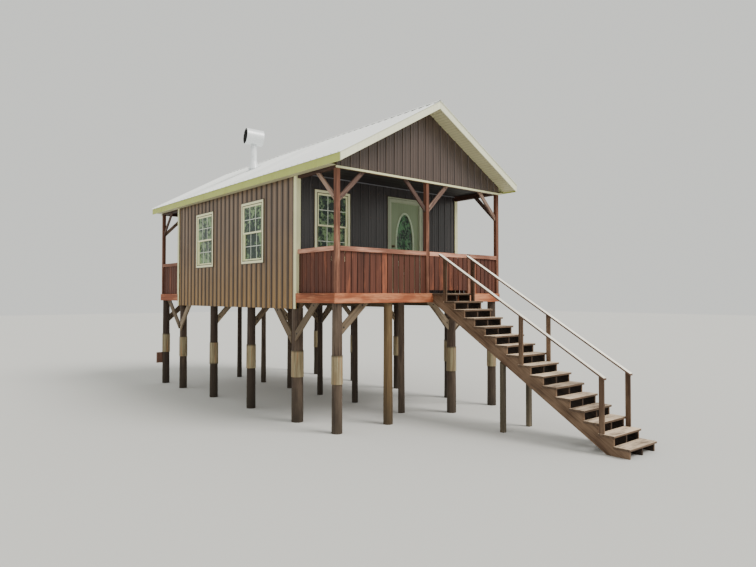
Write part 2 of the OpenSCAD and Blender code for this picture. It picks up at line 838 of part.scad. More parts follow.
module ceilings() color([0.30, 0.24, 0.20]) place() {
  inner = half_w - four;
  box([-inner, gable_t, ceiling_h], [inner, porch_d, ceiling_h + ceiling_t]);
  at_back() box([-inner, gable_t, ceiling_h], [inner, back_porch_d, ceiling_h + ceiling_t]);
  box([-half_w + wall_t, cabin_y, ceiling_h], [half_w - wall_t, cabin_back, ceiling_h + ceiling_t]);
}

paling_drop = 10;

// Row of palings from x0 to x1 with their outer faces at y
module palings(x0, x1, y, z0, z1) {
  length = x1 - x0 - 2 * fit;
  count = ceil((length + paling_gap) / (paling_w + paling_gap));
  step = (length + paling_gap) / count;
  for (i = [0:count - 1])
    box([x0 + fit + i * step, y, z0], [x0 + fit + (i + 1) * step - paling_gap, y + paling_t, z1]);
}

// Railing panel from x0 to x1 in the plane of the front rim, each board its own piece
module railing(x0, x1) {
  box([x0 + fit, 0, rail_top - four], [x1 - fit, board_t, rail_top]);
  palings(x0, x1, board_t + fit, 0, rail_top - paling_drop);
}

module front_railings() color(stain) place() {
  railing(-half_w + four, mid_post_x - four / 2);
  railing(gate_post_x + four / 2, half_w - four);
}

module side_railing(y0, y1)
  translate([-half_w, 0, 0]) mirror([1, 0, 0]) rotate([0, 0, 90]) railing(y0, y1);

module side_railings() color(stain) place() both_sides() {
  side_railing(four, porch_d - siding_out - trim_t - fit);
  at_back() side_railing(four, back_porch_d - siding_out - trim_t - fit);
}

module back_railings() color(stain) place() at_back() {
  railing(-half_w + four, mid_post_x - four / 2);
  railing(mid_post_x + four / 2, half_w - four);
}

// Gate between the middle post and the gate post

gate_x0 = mid_post_x + four / 2 + gate_gap;
gate_x1 = gate_post_x - four / 2 - gate_gap;
gate_foot = 70;
gate_eye_r = 12;
pintle_x = mid_post_x + four / 2 + gate_eye_r + 6;
gate_t = board_t + paling_t;
gate_recess = 8;
gate_frame_y = gate_recess + paling_t + fit;
pintle_y = gate_t + gate_eye_r + 3;
strap_t = 5;
strap_l = 420;
strap_w = 40;
pintle_zs = [gate_foot + four / 2, rail_top - four / 2];
lug_h = 10;

// Top rail with the palings under it, and behind them two stiles and a low rail
module gate() color(stain) place() {
  under = rail_top - four - fit;
  box([gate_x0, 0, rail_top - four], [gate_x1, gate_t, rail_top]);
  palings(gate_x0, gate_x1, gate_recess, gate_foot, under);
  for (x = [gate_x0, gate_x1 - four]) box([x, gate_frame_y, gate_foot], [x + four, gate_t, under]);
  box([gate_x0 + four + fit, gate_frame_y, gate_foot], [gate_x1 - four - fit, gate_t, gate_foot + four]);
}

// Strap on the porch side of the gate with an eye that drops over a pintle
module gate_straps() color([0.16, 0.15, 0.14]) place() for (z = pintle_zs) translate([0, 0, z])
  difference() {
    union() {
      box([pintle_x, gate_t, -strap_w / 2], [pintle_x + strap_l, gate_t + strap_t, strap_w / 2]);
      translate([pintle_x, pintle_y, 0]) cylinder(h = strap_w, r = gate_eye_r, center = true);
    }
    translate([pintle_x, pintle_y, 0])
      cylinder(h = strap_w + 20, d = gate_pin_d + 2 * fit, center = true);
  }

// Plate on the post, an arm and an upright pin
module gate_pintles() color([0.16, 0.15, 0.14]) place()
  for (z = pintle_zs) translate([0, 0, z - strap_w / 2 - fit]) {
    translate([pintle_x, pintle_y, -lug_h]) cylinder(h = lug_h + strap_w + 15, d = gate_pin_d);
    translate([pintle_x, pintle_y, -lug_h]) cylinder(h = lug_h, r = gate_eye_r);
    box([mid_post_x - four / 2 + 10, four, -lug_h], [pintle_x + 6, four + strap_t, 30]);
    box([pintle_x - 6, pintle_y, -lug_h], [pintle_x + 6, four + strap_t, 0]);
  }

// Roof

module roof_slab(y0, y1) {
  edge = half_roof - fascia_t;
  along_y(y0, y1)
    polygon([[0, ridge_h], [-edge, roof_z(edge)], [-edge, under_roof(edge)], [0, under_roof(0)]]);
}

module left_roof() color([0.80, 0.76, 0.64]) place() difference() {
  roof_slab(roof_front + fascia_t, roof_back - fascia_t);
  vent_hole();
}

module right_roof() color([0.80, 0.76, 0.64]) place() mirror([1, 0, 0])
  roof_slab(roof_front + fascia_t, roof_back - fascia_t);

roof_rib_foot = 60;
roof_rib_crest = 24;
roof_rib_start = 70;

// Sheet of one slope: its ribs run from the ridge to the eave
module slope_sheet() {
  length = roof_back - roof_front + 2 * drip;
  run = (half_roof + drip) / cos(pitch);
  translate([0, roof_front - drip, ridge_h]) rotate([0, pitch, 0]) rotate([90, 0, 90])
    ribbed(length, run, rib_pitch, sheet_t, roof_rib_h, roof_rib_foot, roof_rib_crest, roof_rib_start);
}

module roof_sheets() color([0.90, 0.92, 0.93]) place() difference() {
  both_sides() difference() {
    slope_sheet();
    box([-2 * roof_t, roof_front - drip - 1, ridge_h - roof_t],
        [0, roof_back + drip + 1, ridge_h + 2 * roof_t]);
  }
  vent_hole();
}

module ridge_cap() color([0.88, 0.90, 0.91]) place() {
  lift = plumb(sheet_t + roof_rib_h + fit);
  along_y(roof_front - drip, roof_back + drip)
    polygon([
      [0, ridge_h + lift + plumb(3)], [ridge_cap_w, roof_z(ridge_cap_w) + lift + plumb(3)],
      [ridge_cap_w, roof_z(ridge_cap_w) + lift], [0, ridge_h + lift],
      [-ridge_cap_w, roof_z(ridge_cap_w) + lift], [-ridge_cap_w, roof_z(ridge_cap_w) + lift + plumb(3)]
    ]);
}

// Board up one half of a rake, with an open joint at the ridge
module rake_board() along_y(roof_front, roof_front + fascia_t)
  polygon([
    [-fit, roof_z(fit)], [-half_roof, eave_h], [-half_roof, eave_h - fascia_h], [-fit, roof_z(fit) - fascia_h]
  ]);

module fascias() color(cream) place() both_sides() {
  rake_board();
  translate([0, roof_back + roof_front, 0]) mirror([0, 1, 0]) rake_board();
  along_y(roof_front + fascia_t + fit, roof_back - fascia_t - fit)
    polygon([
      [-half_roof, eave_h - fascia_h], [-half_roof, eave_h],
      [-half_roof + fascia_t, roof_z(half_roof - fascia_t)], [-half_roof + fascia_t, eave_h - fascia_h]
    ]);
}

// Sloping soffit under one half of a rake
module rake_soffit(y0, y1) {
  edge = half_roof - fascia_t;
  along_y(y0, y1)
    polygon([
      [-fit, under_roof(fit)], [-edge, under_roof(edge)],
      [-edge, under_roof(edge) - plumb(soffit_t)], [-fit, under_roof(fit) - plumb(soffit_t)]
    ]);
}

module soffits() color([0.84, 0.82, 0.66]) place() {
  both_sides() {
    rake_soffit(roof_front + fascia_t, -siding_out);
    rake_soffit(house_l + siding_out, roof_back - fascia_t);
    box([-half_roof + fascia_t, -siding_out, eave_soffit_z - soffit_t],
        [-half_w - siding_out - trim_t, house_l + siding_out, eave_soffit_z]);
  }
}

// Roof vent

module vent_place() translate([-vent_x, vent_y, roof_z(vent_x)]) children();

vent_foot = vent_d * slope / 2 + plumb(roof_t);
flash_edge = 95;
flash_w = vent_d + 2 * flash_edge;
cone_h = 230;
cone_in = 30;

module vent_hole() vent_place()
  translate([0, 0, -2 * vent_foot]) cylinder(h = 4 * vent_foot, d = vent_d + 2 * fit);

// Pipe through the roof, a plate lying on the ribs and a cone round the pipe
module vent_pipe() color([0.78, 0.80, 0.82]) place() vent_place() {
  crest = sheet_t + roof_rib_h + fit;
  difference() {
    translate([0, 0, -vent_foot]) cylinder(h = vent_foot + vent_h + barrel_d / 2, d = vent_d);
    barrel_place() cylinder(h = barrel_l, d = barrel_d, center = true);
  }
  rotate([0, -pitch, 0])
    box([-flash_w / 2, -flash_w / 2, crest], [flash_w / 2, flash_w / 2, crest + 3]);
  difference() {
    cylinder(h = cone_h, d1 = flash_w - 2 * cone_in, d2 = vent_d + 8);
    rotate([0, -pitch, 0]) box([-flash_w, -flash_w, -flash_w], [flash_w, flash_w, crest + 1]);
  }
}

module barrel_place()
  translate([0, 0, vent_h + barrel_d / 2]) rotate([0, 90 + barrel_tilt, -barrel_turn]) children();

module vent_cap() color([0.84, 0.86, 0.88]) place() vent_place() barrel_place() difference() {
  cylinder(h = barrel_l, d = barrel_d, center = true);
  cylinder(h = barrel_l + 2 * eps, d = barrel_d - 2 * barrel_t, center = true);
}

// Stair

// Side view of a notched stringer: y towards the house, z up
module stringer_outline() {
  last = treads_n - 1;
  cuts = [for (k = [0:last], p = [0, 1])
    [p == 0 ? (k == 0 ? 0 : nose_y(k - 1) + nosing) : nose_y(k) + nosing, -rise * k - board_t]];
  toe = nose_y(last) + nosing;
  heel = -(nose_start + (deck_h - stringer_drop) * step_l / rise);
  polygon(concat(cuts, [[toe, -deck_h], [heel, -deck_h], [0, nose_line(0) - stringer_drop]]));
}

stringer_in = 30;

module stringers() color([0.42, 0.30, 0.24]) place() {
  reach = tread_w / 2 - stringer_in;
  for (x = [stair_x - reach, stair_x - board_t / 2, stair_x + reach - board_t])
    along_x(x, x + board_t) stringer_outline();
}

module treads() color([0.56, 0.46, 0.38]) place()
  for (k = [0:treads_n - 1]) {
    back = k == 0 ? 0 : nose_y(k) + tread_d;
    box([stair_x - tread_w / 2, nose_y(k), -rise * k - board_t], [stair_x + tread_w / 2, back, -rise * k]);
  }

stair_post_y = -1864;

module stair_posts() color(weathered) place() {
  reach = tread_w / 2 - stringer_in - board_t / 2;
  for (s = [-1, 1]) {
    x = stair_x + s * reach;
    along_x(x - four / 2, x + four / 2)
      polygon([
        [stair_post_y - four / 2, -deck_h], [stair_post_y + four / 2, -deck_h],
        [stair_post_y + four / 2, nose_line(stair_post_y + four / 2) - stringer_drop],
        [stair_post_y - four / 2, nose_line(stair_post_y - four / 2) - stringer_drop]
      ]);
  }
}

handrail_top_y = -214;
handrail_t = 38;
handrail_past = 20;

function handrail_under(y) = handrail_z - handrail_fall * (handrail_top_y - y) - handrail_t;

handrail_post_treads = [1, 8, 14];
handrail_foot_y = nose_y(handrail_post_treads[2] - 1) - four - handrail_past;

module handrail_posts() color([0.45, 0.28, 0.21]) place()
  for (s = [-1, 1], k = handrail_post_treads) {
    x = stair_x + s * (tread_w / 2 - board_t / 2);
    front = nose_y(k - 1) - fit - four;
    back = nose_y(k - 1) - fit;
    along_x(x - board_t / 2, x + board_t / 2)
      polygon([
        [front, -rise * k], [back, -rise * k],
        [back, handrail_under(back)], [front, handrail_under(front)]
      ]);
  }

module handrails() color([0.80, 0.74, 0.68]) place()
  for (s = [-1, 1]) {
    x = stair_x + s * (tread_w / 2 - board_t / 2);
    along_x(x - four / 2, x + four / 2)
      polygon([
        [handrail_top_y, handrail_under(handrail_top_y)],
        [handrail_top_y, handrail_under(handrail_top_y) + handrail_t],
        [handrail_foot_y, handrail_under(handrail_foot_y) + handrail_t],
        [handrail_foot_y, handrail_under(handrail_foot_y)]
      ]);
  }

poles();
bare_post();
pole_collars();
pole_board();
under_braces();
floor_girders();
cabin_floor_frame();
cabin_floor();
front_porch_frame();
back_porch_frame();
porch_decks();
left_wall();
right_wall();
back_wall();
front_wall_left();
front_wall_right();
front_wall_over_door();
left_siding();
right_siding();
front_siding();
back_siding();
gable_walls();
gable_siding();
corner_trims();
gable_trims();
window_frames();
window_panes();
front_door_frame();
front_door();
door_glass();
door_knob();
door_hinge_pins();
door_hinge_leaves();
back_door();
porch_posts();
porch_braces();
porch_headers();
ceilings();
front_railings();
side_railings();
back_railings();
gate();
gate_straps();
gate_pintles();
left_roof();
right_roof();
roof_sheets();
ridge_cap();
fascias();
soffits();
vent_pipe();
vent_cap();
stringers();
treads();
stair_posts();
handrail_posts();
handrails();
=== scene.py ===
# %% [markdown]
# This lesson dresses a small cabin that stands on round poles. Its measured
# solids come in as a fixed frame, in metres, with the ground at z = 0 and the
# front porch towards -Y. Nothing below moves or resizes a solid. The lesson
# adds finishes, timber with grain and eased edges, and all the fine pieces
# that were too small for the frame.

# %% Load the frame
import json
import math
import random

import bmesh
import bpy
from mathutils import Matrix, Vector

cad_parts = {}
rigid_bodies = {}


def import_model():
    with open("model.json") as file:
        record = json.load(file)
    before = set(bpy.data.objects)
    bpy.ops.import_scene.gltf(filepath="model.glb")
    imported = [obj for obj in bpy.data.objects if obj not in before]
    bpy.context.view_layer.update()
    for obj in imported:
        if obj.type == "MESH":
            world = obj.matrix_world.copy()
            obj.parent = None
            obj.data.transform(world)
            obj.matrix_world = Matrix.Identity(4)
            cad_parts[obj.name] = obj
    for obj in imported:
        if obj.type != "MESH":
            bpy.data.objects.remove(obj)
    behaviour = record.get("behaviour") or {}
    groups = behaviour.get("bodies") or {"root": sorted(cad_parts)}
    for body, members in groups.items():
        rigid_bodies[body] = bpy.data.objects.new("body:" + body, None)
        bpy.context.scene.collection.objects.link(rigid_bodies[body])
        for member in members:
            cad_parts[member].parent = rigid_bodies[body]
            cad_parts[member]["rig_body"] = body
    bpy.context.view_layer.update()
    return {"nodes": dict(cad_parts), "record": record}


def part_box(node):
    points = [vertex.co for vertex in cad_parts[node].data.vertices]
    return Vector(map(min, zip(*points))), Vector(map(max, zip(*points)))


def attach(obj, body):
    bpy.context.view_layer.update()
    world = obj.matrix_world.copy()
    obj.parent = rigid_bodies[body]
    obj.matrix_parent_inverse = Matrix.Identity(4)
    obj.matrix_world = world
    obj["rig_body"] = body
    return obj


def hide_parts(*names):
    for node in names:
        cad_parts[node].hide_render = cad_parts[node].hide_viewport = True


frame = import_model()
slot_of = {row["node"]: row["material_slot"] for row in frame["record"]["subparts"]}
body_of = {name: solid["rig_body"] for name, solid in frame["nodes"].items()}

# %% [markdown]
# Most pieces below need only a few levels and faces of the house. They are
# read from the solids, so that the dressing follows the frame when it changes.

# %% Measure the house
deck_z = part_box("porch_decks")[1].z
half_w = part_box("cabin_floor")[1].x
cabin_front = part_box("cabin_floor")[0].y
cabin_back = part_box("cabin_floor")[1].y
porch_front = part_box("front_porch_frame")[0].y
porch_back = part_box("back_porch_frame")[1].y
house_middle = (porch_front + porch_back) / 2
siding_out = -half_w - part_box("left_siding")[0].x
rib_pitch = 0.2286
ridge_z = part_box("right_roof")[1].z
roof_corners = [vertex.co for vertex in frame["nodes"]["right_roof"].data.vertices]
roof_edge = max(roof_corners, key=lambda corner: (round(corner.x, 4), corner.z))
slope = (ridge_z - roof_edge.z) / roof_edge.x
pitch = math.atan(slope)
print("deck at", round(deck_z, 3), "roof pitch", round(math.degrees(pitch), 2), "degrees")

# %% [markdown]
# The camera stands where the photographer stood: on the left, a little lower
# than the floor of the porch, looking almost level. It is made first, because
# every later choice is judged through it. A long lens would flatten the gable,
# so the lens is a wide one, as on a phone.

# %% Camera
eye = Vector((-9.137, -11.582, 2.639))
turn, lift = math.radians(40.224), math.radians(1.163)
gaze = Vector((math.sin(turn) * math.cos(lift), math.cos(turn) * math.cos(lift), math.sin(lift)))
camera_data = bpy.data.cameras.new("camera")
camera_data.sensor_width = 36.0
camera_data.lens = 28.42
camera_data.clip_end = 200.0
camera = bpy.data.objects.new("camera", camera_data)
camera.location = eye
camera.rotation_mode = "QUATERNION"
camera.rotation_quaternion = gaze.to_track_quat("-Z", "Y")
bpy.context.scene.collection.objects.link(camera)
bpy.context.scene.camera = camera
print("camera looks along", [round(v, 3) for v in gaze])

# %% [markdown]
# Node trees are wordy in plain Python. The small classes here hide that:
# Graph.node adds any node, its settings first and then its sockets, and Wire
# wraps an output socket so that sums such as 1 - mask * 0.5 add their own
# Math nodes. Both work in shader trees and in Geometry Nodes. Finish is a
# Graph for one material, with the few nodes that most finishes share.

# %% Helpers for node trees
class Wire:
    """An output socket that can be used in sums."""

    def __init__(self, graph, socket):
        self.graph, self.socket = graph, socket

    def sum(self, operation, *values, clamp=False):
        settings = {"operation": operation, "use_clamp": clamp}
        return self.graph.node("ShaderNodeMath", settings, dict(enumerate(values)))

    def __add__(self, other):
        return self.sum("ADD", self, other)

    def __sub__(self, other):
        return self.sum("SUBTRACT", self, other)

    def __rsub__(self, other):
        return self.sum("SUBTRACT", other, self)

    def __mul__(self, other):
        return self.sum("MULTIPLY", self, other)

    def __truediv__(self, other):
        return self.sum("DIVIDE", self, other)

    def abs(self):
        return self.sum("ABSOLUTE", self)

    def floor(self):
        return self.sum("FLOOR", self)

    def fraction(self):
        return self.sum("FRACT", self)

    def between(self, low, high):
        """0 at low and 1 at high, straight in between and clamped outside."""
        return self.sum("MULTIPLY", self - low, 1.0 / (high - low), clamp=True)

    __radd__ = __add__
    __rmul__ = __mul__


class Graph:
    """A node tree that is being wired."""

    def __init__(self, tree):
        self.tree = tree

    def put(self, socket, value):
        """Gives a socket a wire, several wires or a plain value."""
        if isinstance(value, Wire):
            self.tree.links.new(value.socket, socket)
        elif isinstance(value, list):
            for wire in value:
                self.tree.links.new(wire.socket, socket)
        elif socket.type == "RGBA" and len(value) == 3:
            socket.default_value = (*value, 1.0)
        else:
            socket.default_value = value

    def node(self, kind, settings=None, sockets=None, out=0):
        """Adds a node and returns one of its outputs, by number or by name."""
        made = self.tree.nodes.new(kind)
        for name, value in (settings or {}).items():
            setattr(made, name, value)
        for name, value in (sockets or {}).items():
            if isinstance(name, int):
                self.put(made.inputs[name], value)
            else:
                self.put(next(s for s in made.inputs if s.name == name and s.enabled), value)
        if isinstance(out, str):
            return Wire(self, next(s for s in made.outputs if s.name == out and s.enabled))
        return Wire(self, [s for s in made.outputs if s.enabled][out])


class Finish(Graph):
    """A material round one Principled shader."""

    def __init__(self, name, constants):
        self.material = bpy.data.materials.new(name)
        self.material.use_nodes = True
        super().__init__(self.material.node_tree)
        self.shader = self.tree.nodes["Principled BSDF"]
        for socket, value in constants.items():
            self.put(self.shader.inputs[socket], value)

    def place(self):
        """Where a point of the surface is, in metres, in the house's own frame."""
        return self.node("ShaderNodeTexCoord", out="Object")

    def stored(self, name, out="Fac"):
        return self.node("ShaderNodeAttribute", {"attribute_name": name}, out=out)

    def scaled(self, vector, x, y, z):
        return self.node("ShaderNodeVectorMath", {"operation": "MULTIPLY"}, {0: vector, 1: (x, y, z)})

    def parts(self, vector):
        split = self.node("ShaderNodeSeparateXYZ", sockets={"Vector": vector})
        outputs = split.socket.node.outputs
        return [Wire(self, outputs[axis]) for axis in "XYZ"]

    def noise(self, vector, scale, detail=4.0, roughness=0.55):
        sockets = {"Vector": vector, "Scale": scale, "Detail": detail, "Roughness": roughness}
        return self.node("ShaderNodeTexNoise", sockets=sockets)

    def random(self, value):
        """A number from 0 to 1 that is the same wherever value is."""
        return self.node("ShaderNodeTexWhiteNoise", {"noise_dimensions": "1D"}, {"W": value})

    def mix(self, factor, a, b, blend="MIX"):
        settings = {"data_type": "RGBA", "blend_type": blend}
        return self.node("ShaderNodeMix", settings, {"Factor": factor, "A": a, "B": b})

    def shade(self, colour, amount):
        """colour made darker or lighter by amount, where 1 leaves it as it is."""
        grey = self.node("ShaderNodeCombineXYZ", sockets={0: amount, 1: amount, 2: amount})
        return self.mix(1.0, colour, grey, "MULTIPLY")

    def bump(self, height, distance, strength=1.0):
        sockets = {"Height": height, "Distance": distance, "Strength": strength}
        self.put(self.shader.inputs["Normal"], self.node("ShaderNodeBump", sockets=sockets))

    def colour(self, value):
        self.put(self.shader.inputs["Base Color"], value)

    def rough(self, value):
        self.put(self.shader.inputs["Roughness"], value)


# %% [markdown]
# Sawn timber needs a grain that runs along each board, whichever way the board
# lies. Object coordinates alone can't tell a rail from a post, so every board
# stores its own grain coordinates and a random tone. A wood finish then reads
# those two attributes: long thin noise for the fibres, wide noise for the
# stain's wear, and the tone so that no two boards match.

# %% Wood finishes
def wood(name, dark, mid, pale, wear=0.45, foot_dirt=0.0):
    """Sawn wood from its darkest to its palest tone.

    wear is how much of the pale tone shows, and foot_dirt how high the ground has splashed it.
    """
    finish = Finish(name, {"Specular IOR Level": 0.3})
    grain = finish.stored("grain", "Vector")
    tone = finish.stored("tone")
    fibres = finish.noise(finish.scaled(grain, 1.6, 55.0, 55.0), 1.0, 7.0, 0.62)
    bands = finish.noise(finish.scaled(grain, 0.7, 13.0, 13.0), 1.0, 3.0, 0.5)
    patches = finish.noise(finish.scaled(grain, 1.1, 4.0, 4.0), 1.3, 4.0, 0.6)
    body = finish.mix((fibres * 0.6 + bands * 0.4).between(0.36, 0.64), dark, mid)
    worn = patches + (tone - 0.5) * 0.34 + (fibres - 0.5) * 0.55
    worn = worn.between(0.72 - wear * 0.5, 0.92 - wear * 0.3)
    body = finish.mix(worn, body, pale)
    body = finish.shade(body, 0.78 + tone * 0.44)
    if foot_dirt:
        height = finish.parts(finish.place())[2]
        low = 1 - (height + (patches - 0.5) * 0.5).between(0.0, foot_dirt)
        body = finish.mix(low * 0.6, body, (0.030, 0.026, 0.018))
    finish.colour(body)
    finish.rough(0.66 + (fibres - 0.5) * 0.3)
    finish.bump(fibres * 0.7 + bands * 0.3, 0.004, 0.55)
    return finish.material


stained_wood = wood("red_brown_stain", (0.085, 0.030, 0.018), (0.240, 0.098, 0.058), (0.46, 0.22, 0.130))
paling_tones = (0.060, 0.020, 0.012), (0.150, 0.050, 0.030), (0.30, 0.095, 0.045)
paling_wood = wood("worn_palings", *paling_tones, wear=0.22)
rim_wood = wood("sunlit_rim", (0.19, 0.056, 0.024), (0.44, 0.125, 0.052), (0.66, 0.28, 0.140), wear=0.6)
rail_tones = (0.17, 0.066, 0.040), (0.38, 0.165, 0.108), (0.62, 0.32, 0.220)
rail_top_wood = wood("sunlit_rail", *rail_tones, wear=0.6)
stair_wood = wood("faded_brown_stain", (0.048, 0.026, 0.014), (0.118, 0.068, 0.041), (0.198, 0.127, 0.079))
brace_wood = wood("weathered_brace", (0.093, 0.066, 0.040), (0.228, 0.166, 0.107), (0.40, 0.312, 0.212))
shaded_stain = wood("shaded_stain", (0.053, 0.026, 0.021), (0.149, 0.086, 0.066), (0.285, 0.190, 0.145))
frame_wood = wood("treated_framing", (0.055, 0.038, 0.022), (0.12, 0.084, 0.048), (0.19, 0.14, 0.085))
deck_wood = wood("worn_decking", (0.070, 0.040, 0.026), (0.15, 0.090, 0.058), (0.25, 0.178, 0.120))
board_wood = wood("faded_red_board", (0.16, 0.080, 0.055), (0.33, 0.175, 0.125), (0.46, 0.29, 0.22))
header_tones = (0.040, 0.020, 0.015), (0.086, 0.042, 0.031), (0.150, 0.078, 0.056)
header_wood = wood("dark_stained_beam", *header_tones, wear=0.3)
# A near-black stain: painted shade on the middle stringer and the inner sides of the others.
stair_shade_tones = (0.009, 0.006, 0.004), (0.022, 0.014, 0.010), (0.042, 0.027, 0.020)
stair_shade_stain = wood("unfaded_stair_stain", *stair_shade_tones)
# The stair posts take a darker, greener stain than the stringers, which also paints the shade on them.
stair_post_stain_and_shade = wood("dark_stair_post", (0.045, 0.036, 0.024), (0.10, 0.080, 0.052), (0.17, 0.14, 0.095))
timber_finish = {
    "stained_wood": stained_wood, "stair_wood": stair_wood, "brace_wood": brace_wood,
    "frame_wood": frame_wood, "deck_wood": deck_wood, "board_red": board_wood,
}
print("wood finishes:", len(bpy.data.materials))

# %% [markdown]
# Treads and handrails wear in known places. Feet scour the middle of a tread
# and its front edge, and sun bleaches whatever faces up, so these two finishes
# also ask which way the surface faces. Their pale tops are also painted light,
# for the light that falls on them from above.

# %% Treads and handrails
def upward(finish):
    """1 on what faces up, 0 on what faces sideways or down."""
    facing = finish.node("ShaderNodeNewGeometry", out="Normal")
    return finish.parts(facing)[2].between(0.35, 0.75)


def bleached_and_lit_wood(name, side_dark, side_mid, top_dark, top_pale, top_share):
    """Stained wood with worn faces on top, whose pale tone is also a painted highlight for the light from
    above. The lower top_share is, the more of the top is pale.
    """
    finish = Finish(name, {"Specular IOR Level": 0.3})
    grain = finish.stored("grain", "Vector")
    tone = finish.stored("tone")
    fibres = finish.noise(finish.scaled(grain, 1.6, 60.0, 60.0), 1.0, 7.0, 0.62)
    patches = finish.noise(finish.scaled(grain, 2.0, 7.0, 7.0), 1.2, 4.0, 0.6)
    side = finish.mix(fibres.between(0.38, 0.62), side_dark, side_mid)
    scuffed = (patches * 0.6 + fibres * 0.5 + tone * 0.12).between(top_share - 0.13, top_share + 0.06)
    top = finish.mix(scuffed, top_dark, top_pale)
    body = finish.mix(upward(finish), side, top)
    finish.colour(finish.shade(body, 0.84 + tone * 0.32))
    finish.rough(0.72 + (fibres - 0.5) * 0.3)
    finish.bump(fibres, 0.004, 0.6)
    return finish.material


# The pale tops are worn and bleached wood, and also a painted highlight for the light that falls on them.
tread_sides = (0.052, 0.031, 0.020), (0.16, 0.106, 0.070)
tread_lit_tops = (0.17, 0.114, 0.080), (0.72, 0.56, 0.40)
rail_sides = (0.070, 0.038, 0.026), (0.16, 0.092, 0.062)
rail_lit_tops = (0.64, 0.56, 0.45), (1.0, 0.96, 0.84)
tread_wood = bleached_and_lit_wood("scuffed_tread", *tread_sides, *tread_lit_tops, 0.60)
rail_wood = bleached_and_lit_wood("bleached_handrail", *rail_sides, *rail_lit_tops, 0.52)
timber_finish["tread_wood"] = tread_wood
timber_finish["rail_wood"] = rail_wood
print("bleached finishes: 2")

# %% [markdown]
# A solid from the frame is loose triangles with sharp edges, so every piece
# that stands for one starts as a merged copy. Two copies are also drawn out a
# little, because the real parts are longer than their solids: the oval light of
# the front door, and the braces of the corner poles. Stretching the points of a
# copy along one axis keeps its faces flat and its ends where they rest.

# %% Copies of solids
oval_nodes = ("front_door", "door_glass")
oval_stretch, oval_drop, oval_rim = 1.40, 0.026, 0.06
inner_stretch, outer_stretch, cross_stretch, drop_stretch = 1.30, 1.15, 1.21, 1.20
out_to_side, onto_pole = 0.101, 0.06
brace_span, corner_room = 0.3, 0.05


def stretch(vertices, axis, fixed, factor):
    """Moves vertices along one axis, away from the place that stays fixed."""
    for vertex in vertices:
        vertex.co[axis] = fixed + (vertex.co[axis] - fixed) * factor


def lengthen_oval(mesh):
    """Draws the oval light of the door down to its real height, and fills the faces round it anew."""
    low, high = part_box("door_glass")
    near = [vertex for vertex in mesh.verts if low.x - oval_rim < vertex.co.x < high.x + oval_rim]
    stretch(near, 2, high.z, oval_stretch)
    for vertex in near:
        vertex.co.z -= oval_drop
    flat = [face for face in mesh.faces if abs(face.normal.y) > 0.99]
    bmesh.ops.delete(mesh, geom=flat, context="FACES_ONLY")
    bmesh.ops.delete(mesh, geom=[edge for edge in mesh.edges if not edge.link_faces], context="EDGES")
    rims = [edge for edge in mesh.edges if edge.is_boundary]
    for level in sorted({round(edge.verts[0].co.y, 4) for edge in rims}):
        ring = [edge for edge in rims if round(edge.verts[0].co.y, 4) == level]
        bmesh.ops.triangle_fill(mesh, use_beauty=True, use_dissolve=False, edges=ring)
    bmesh.ops.recalc_face_normals(mesh, faces=mesh.faces)


def lengthen_braces(mesh):
    """Draws the braces of the corner poles out to the length and the side that the photo shows."""
    for group in islands(mesh):
        low, high = box_of([vertex.co for vertex in group])
        tip = min(group, key=lambda vertex: vertex.co.z).co.copy()
        if high.y - low.y > brace_span:
            inner = max(high.x, -low.x) < half_w - corner_room
            stretch(group, 1, tip.y, inner_stretch if inner else outer_stretch)
            if inner:
                stretch(group, 2, high.z, drop_stretch)
                to_pole = math.copysign(onto_pole, tip.y - (low.y + high.y) / 2)
                shift = Vector((math.copysign(out_to_side, tip.x), to_pole, 0.0))
                for vertex in group:
                    vertex.co += shift
        elif low.y < porch_front + brace_span or high.y > porch_back - brace_span:
            stretch(group, 0, tip.x, cross_stretch)


def merged(node):
    """A merged copy of a solid's mesh, with its flat faces whole again."""
    mesh = bmesh.new()
    mesh.from_mesh(frame["nodes"][node].data)
    bmesh.ops.remove_doubles(mesh, verts=mesh.verts, dist=1e-5)
    if node in oval_nodes:
        lengthen_oval(mesh)
    if node == "under_braces":
        lengthen_braces(mesh)
    bmesh.ops.dissolve_limit(mesh, angle_limit=math.radians(0.4), verts=mesh.verts, edges=mesh.edges)
    return mesh


def islands(mesh):
    """The separate solids of a merged mesh, each as a list of vertices."""
    mesh.verts.index_update()
    seen, groups = set(), []
    for first in mesh.verts:
        if first.index in seen:
            continue
        seen.add(first.index)
        stack, group = [first], []
        while stack:
            vertex = stack.pop()
            group.append(vertex)
            for edge in vertex.link_edges:
                other = edge.other_vert(vertex)
                if other.index not in seen:
                    seen.add(other.index)
                    stack.append(other)
        groups.append(group)
    return groups


def spots(node):
    """The corner points of each separate solid of a node."""
    mesh = merged(node)
    groups = [[vertex.co.copy() for vertex in group] for group in islands(mesh)]
    mesh.free()
    return groups


def box_of(points):
    """The lowest and highest corner of some points."""
    low = Vector([min(point[axis] for point in points) for axis in range(3)])
    high = Vector([max(point[axis] for point in points) for axis in range(3)])
    return low, high


def boxes_of(node):
    """The boxes of the separate solids of a node."""
    return [box_of(group) for group in spots(node)]


print("copies drawn out:", len(oval_nodes) + 1)

# %% [markdown]
# For timber, the copy is split into its boards, each board gets its grain and
# its tone, and the edges are eased, as a plane would leave them. Every board
# finds its own length: that is the direction of its longest edge. The face
# with the largest area gives its thickness.

# %% Boards out of copies
def board_axes(group):
    """Length, width and thickness directions of one board."""
    edges = {edge for vertex in group for edge in vertex.link_edges}
    faces = {face for vertex in group for face in vertex.link_faces}
    longest = max(edges, key=lambda edge: (round(edge.calc_length(), 4), -edge.index))
    along = (longest.verts[1].co - longest.verts[0].co).normalized()
    if along[max(range(3), key=lambda axis: abs(along[axis]))] < 0:
        along = -along
    widest = max(faces, key=lambda face: (round(face.calc_area(), 5), -face.index))
    thick = widest.normal - widest.normal.dot(along) * along
    thick.normalize()
    return along, thick.cross(along), thick


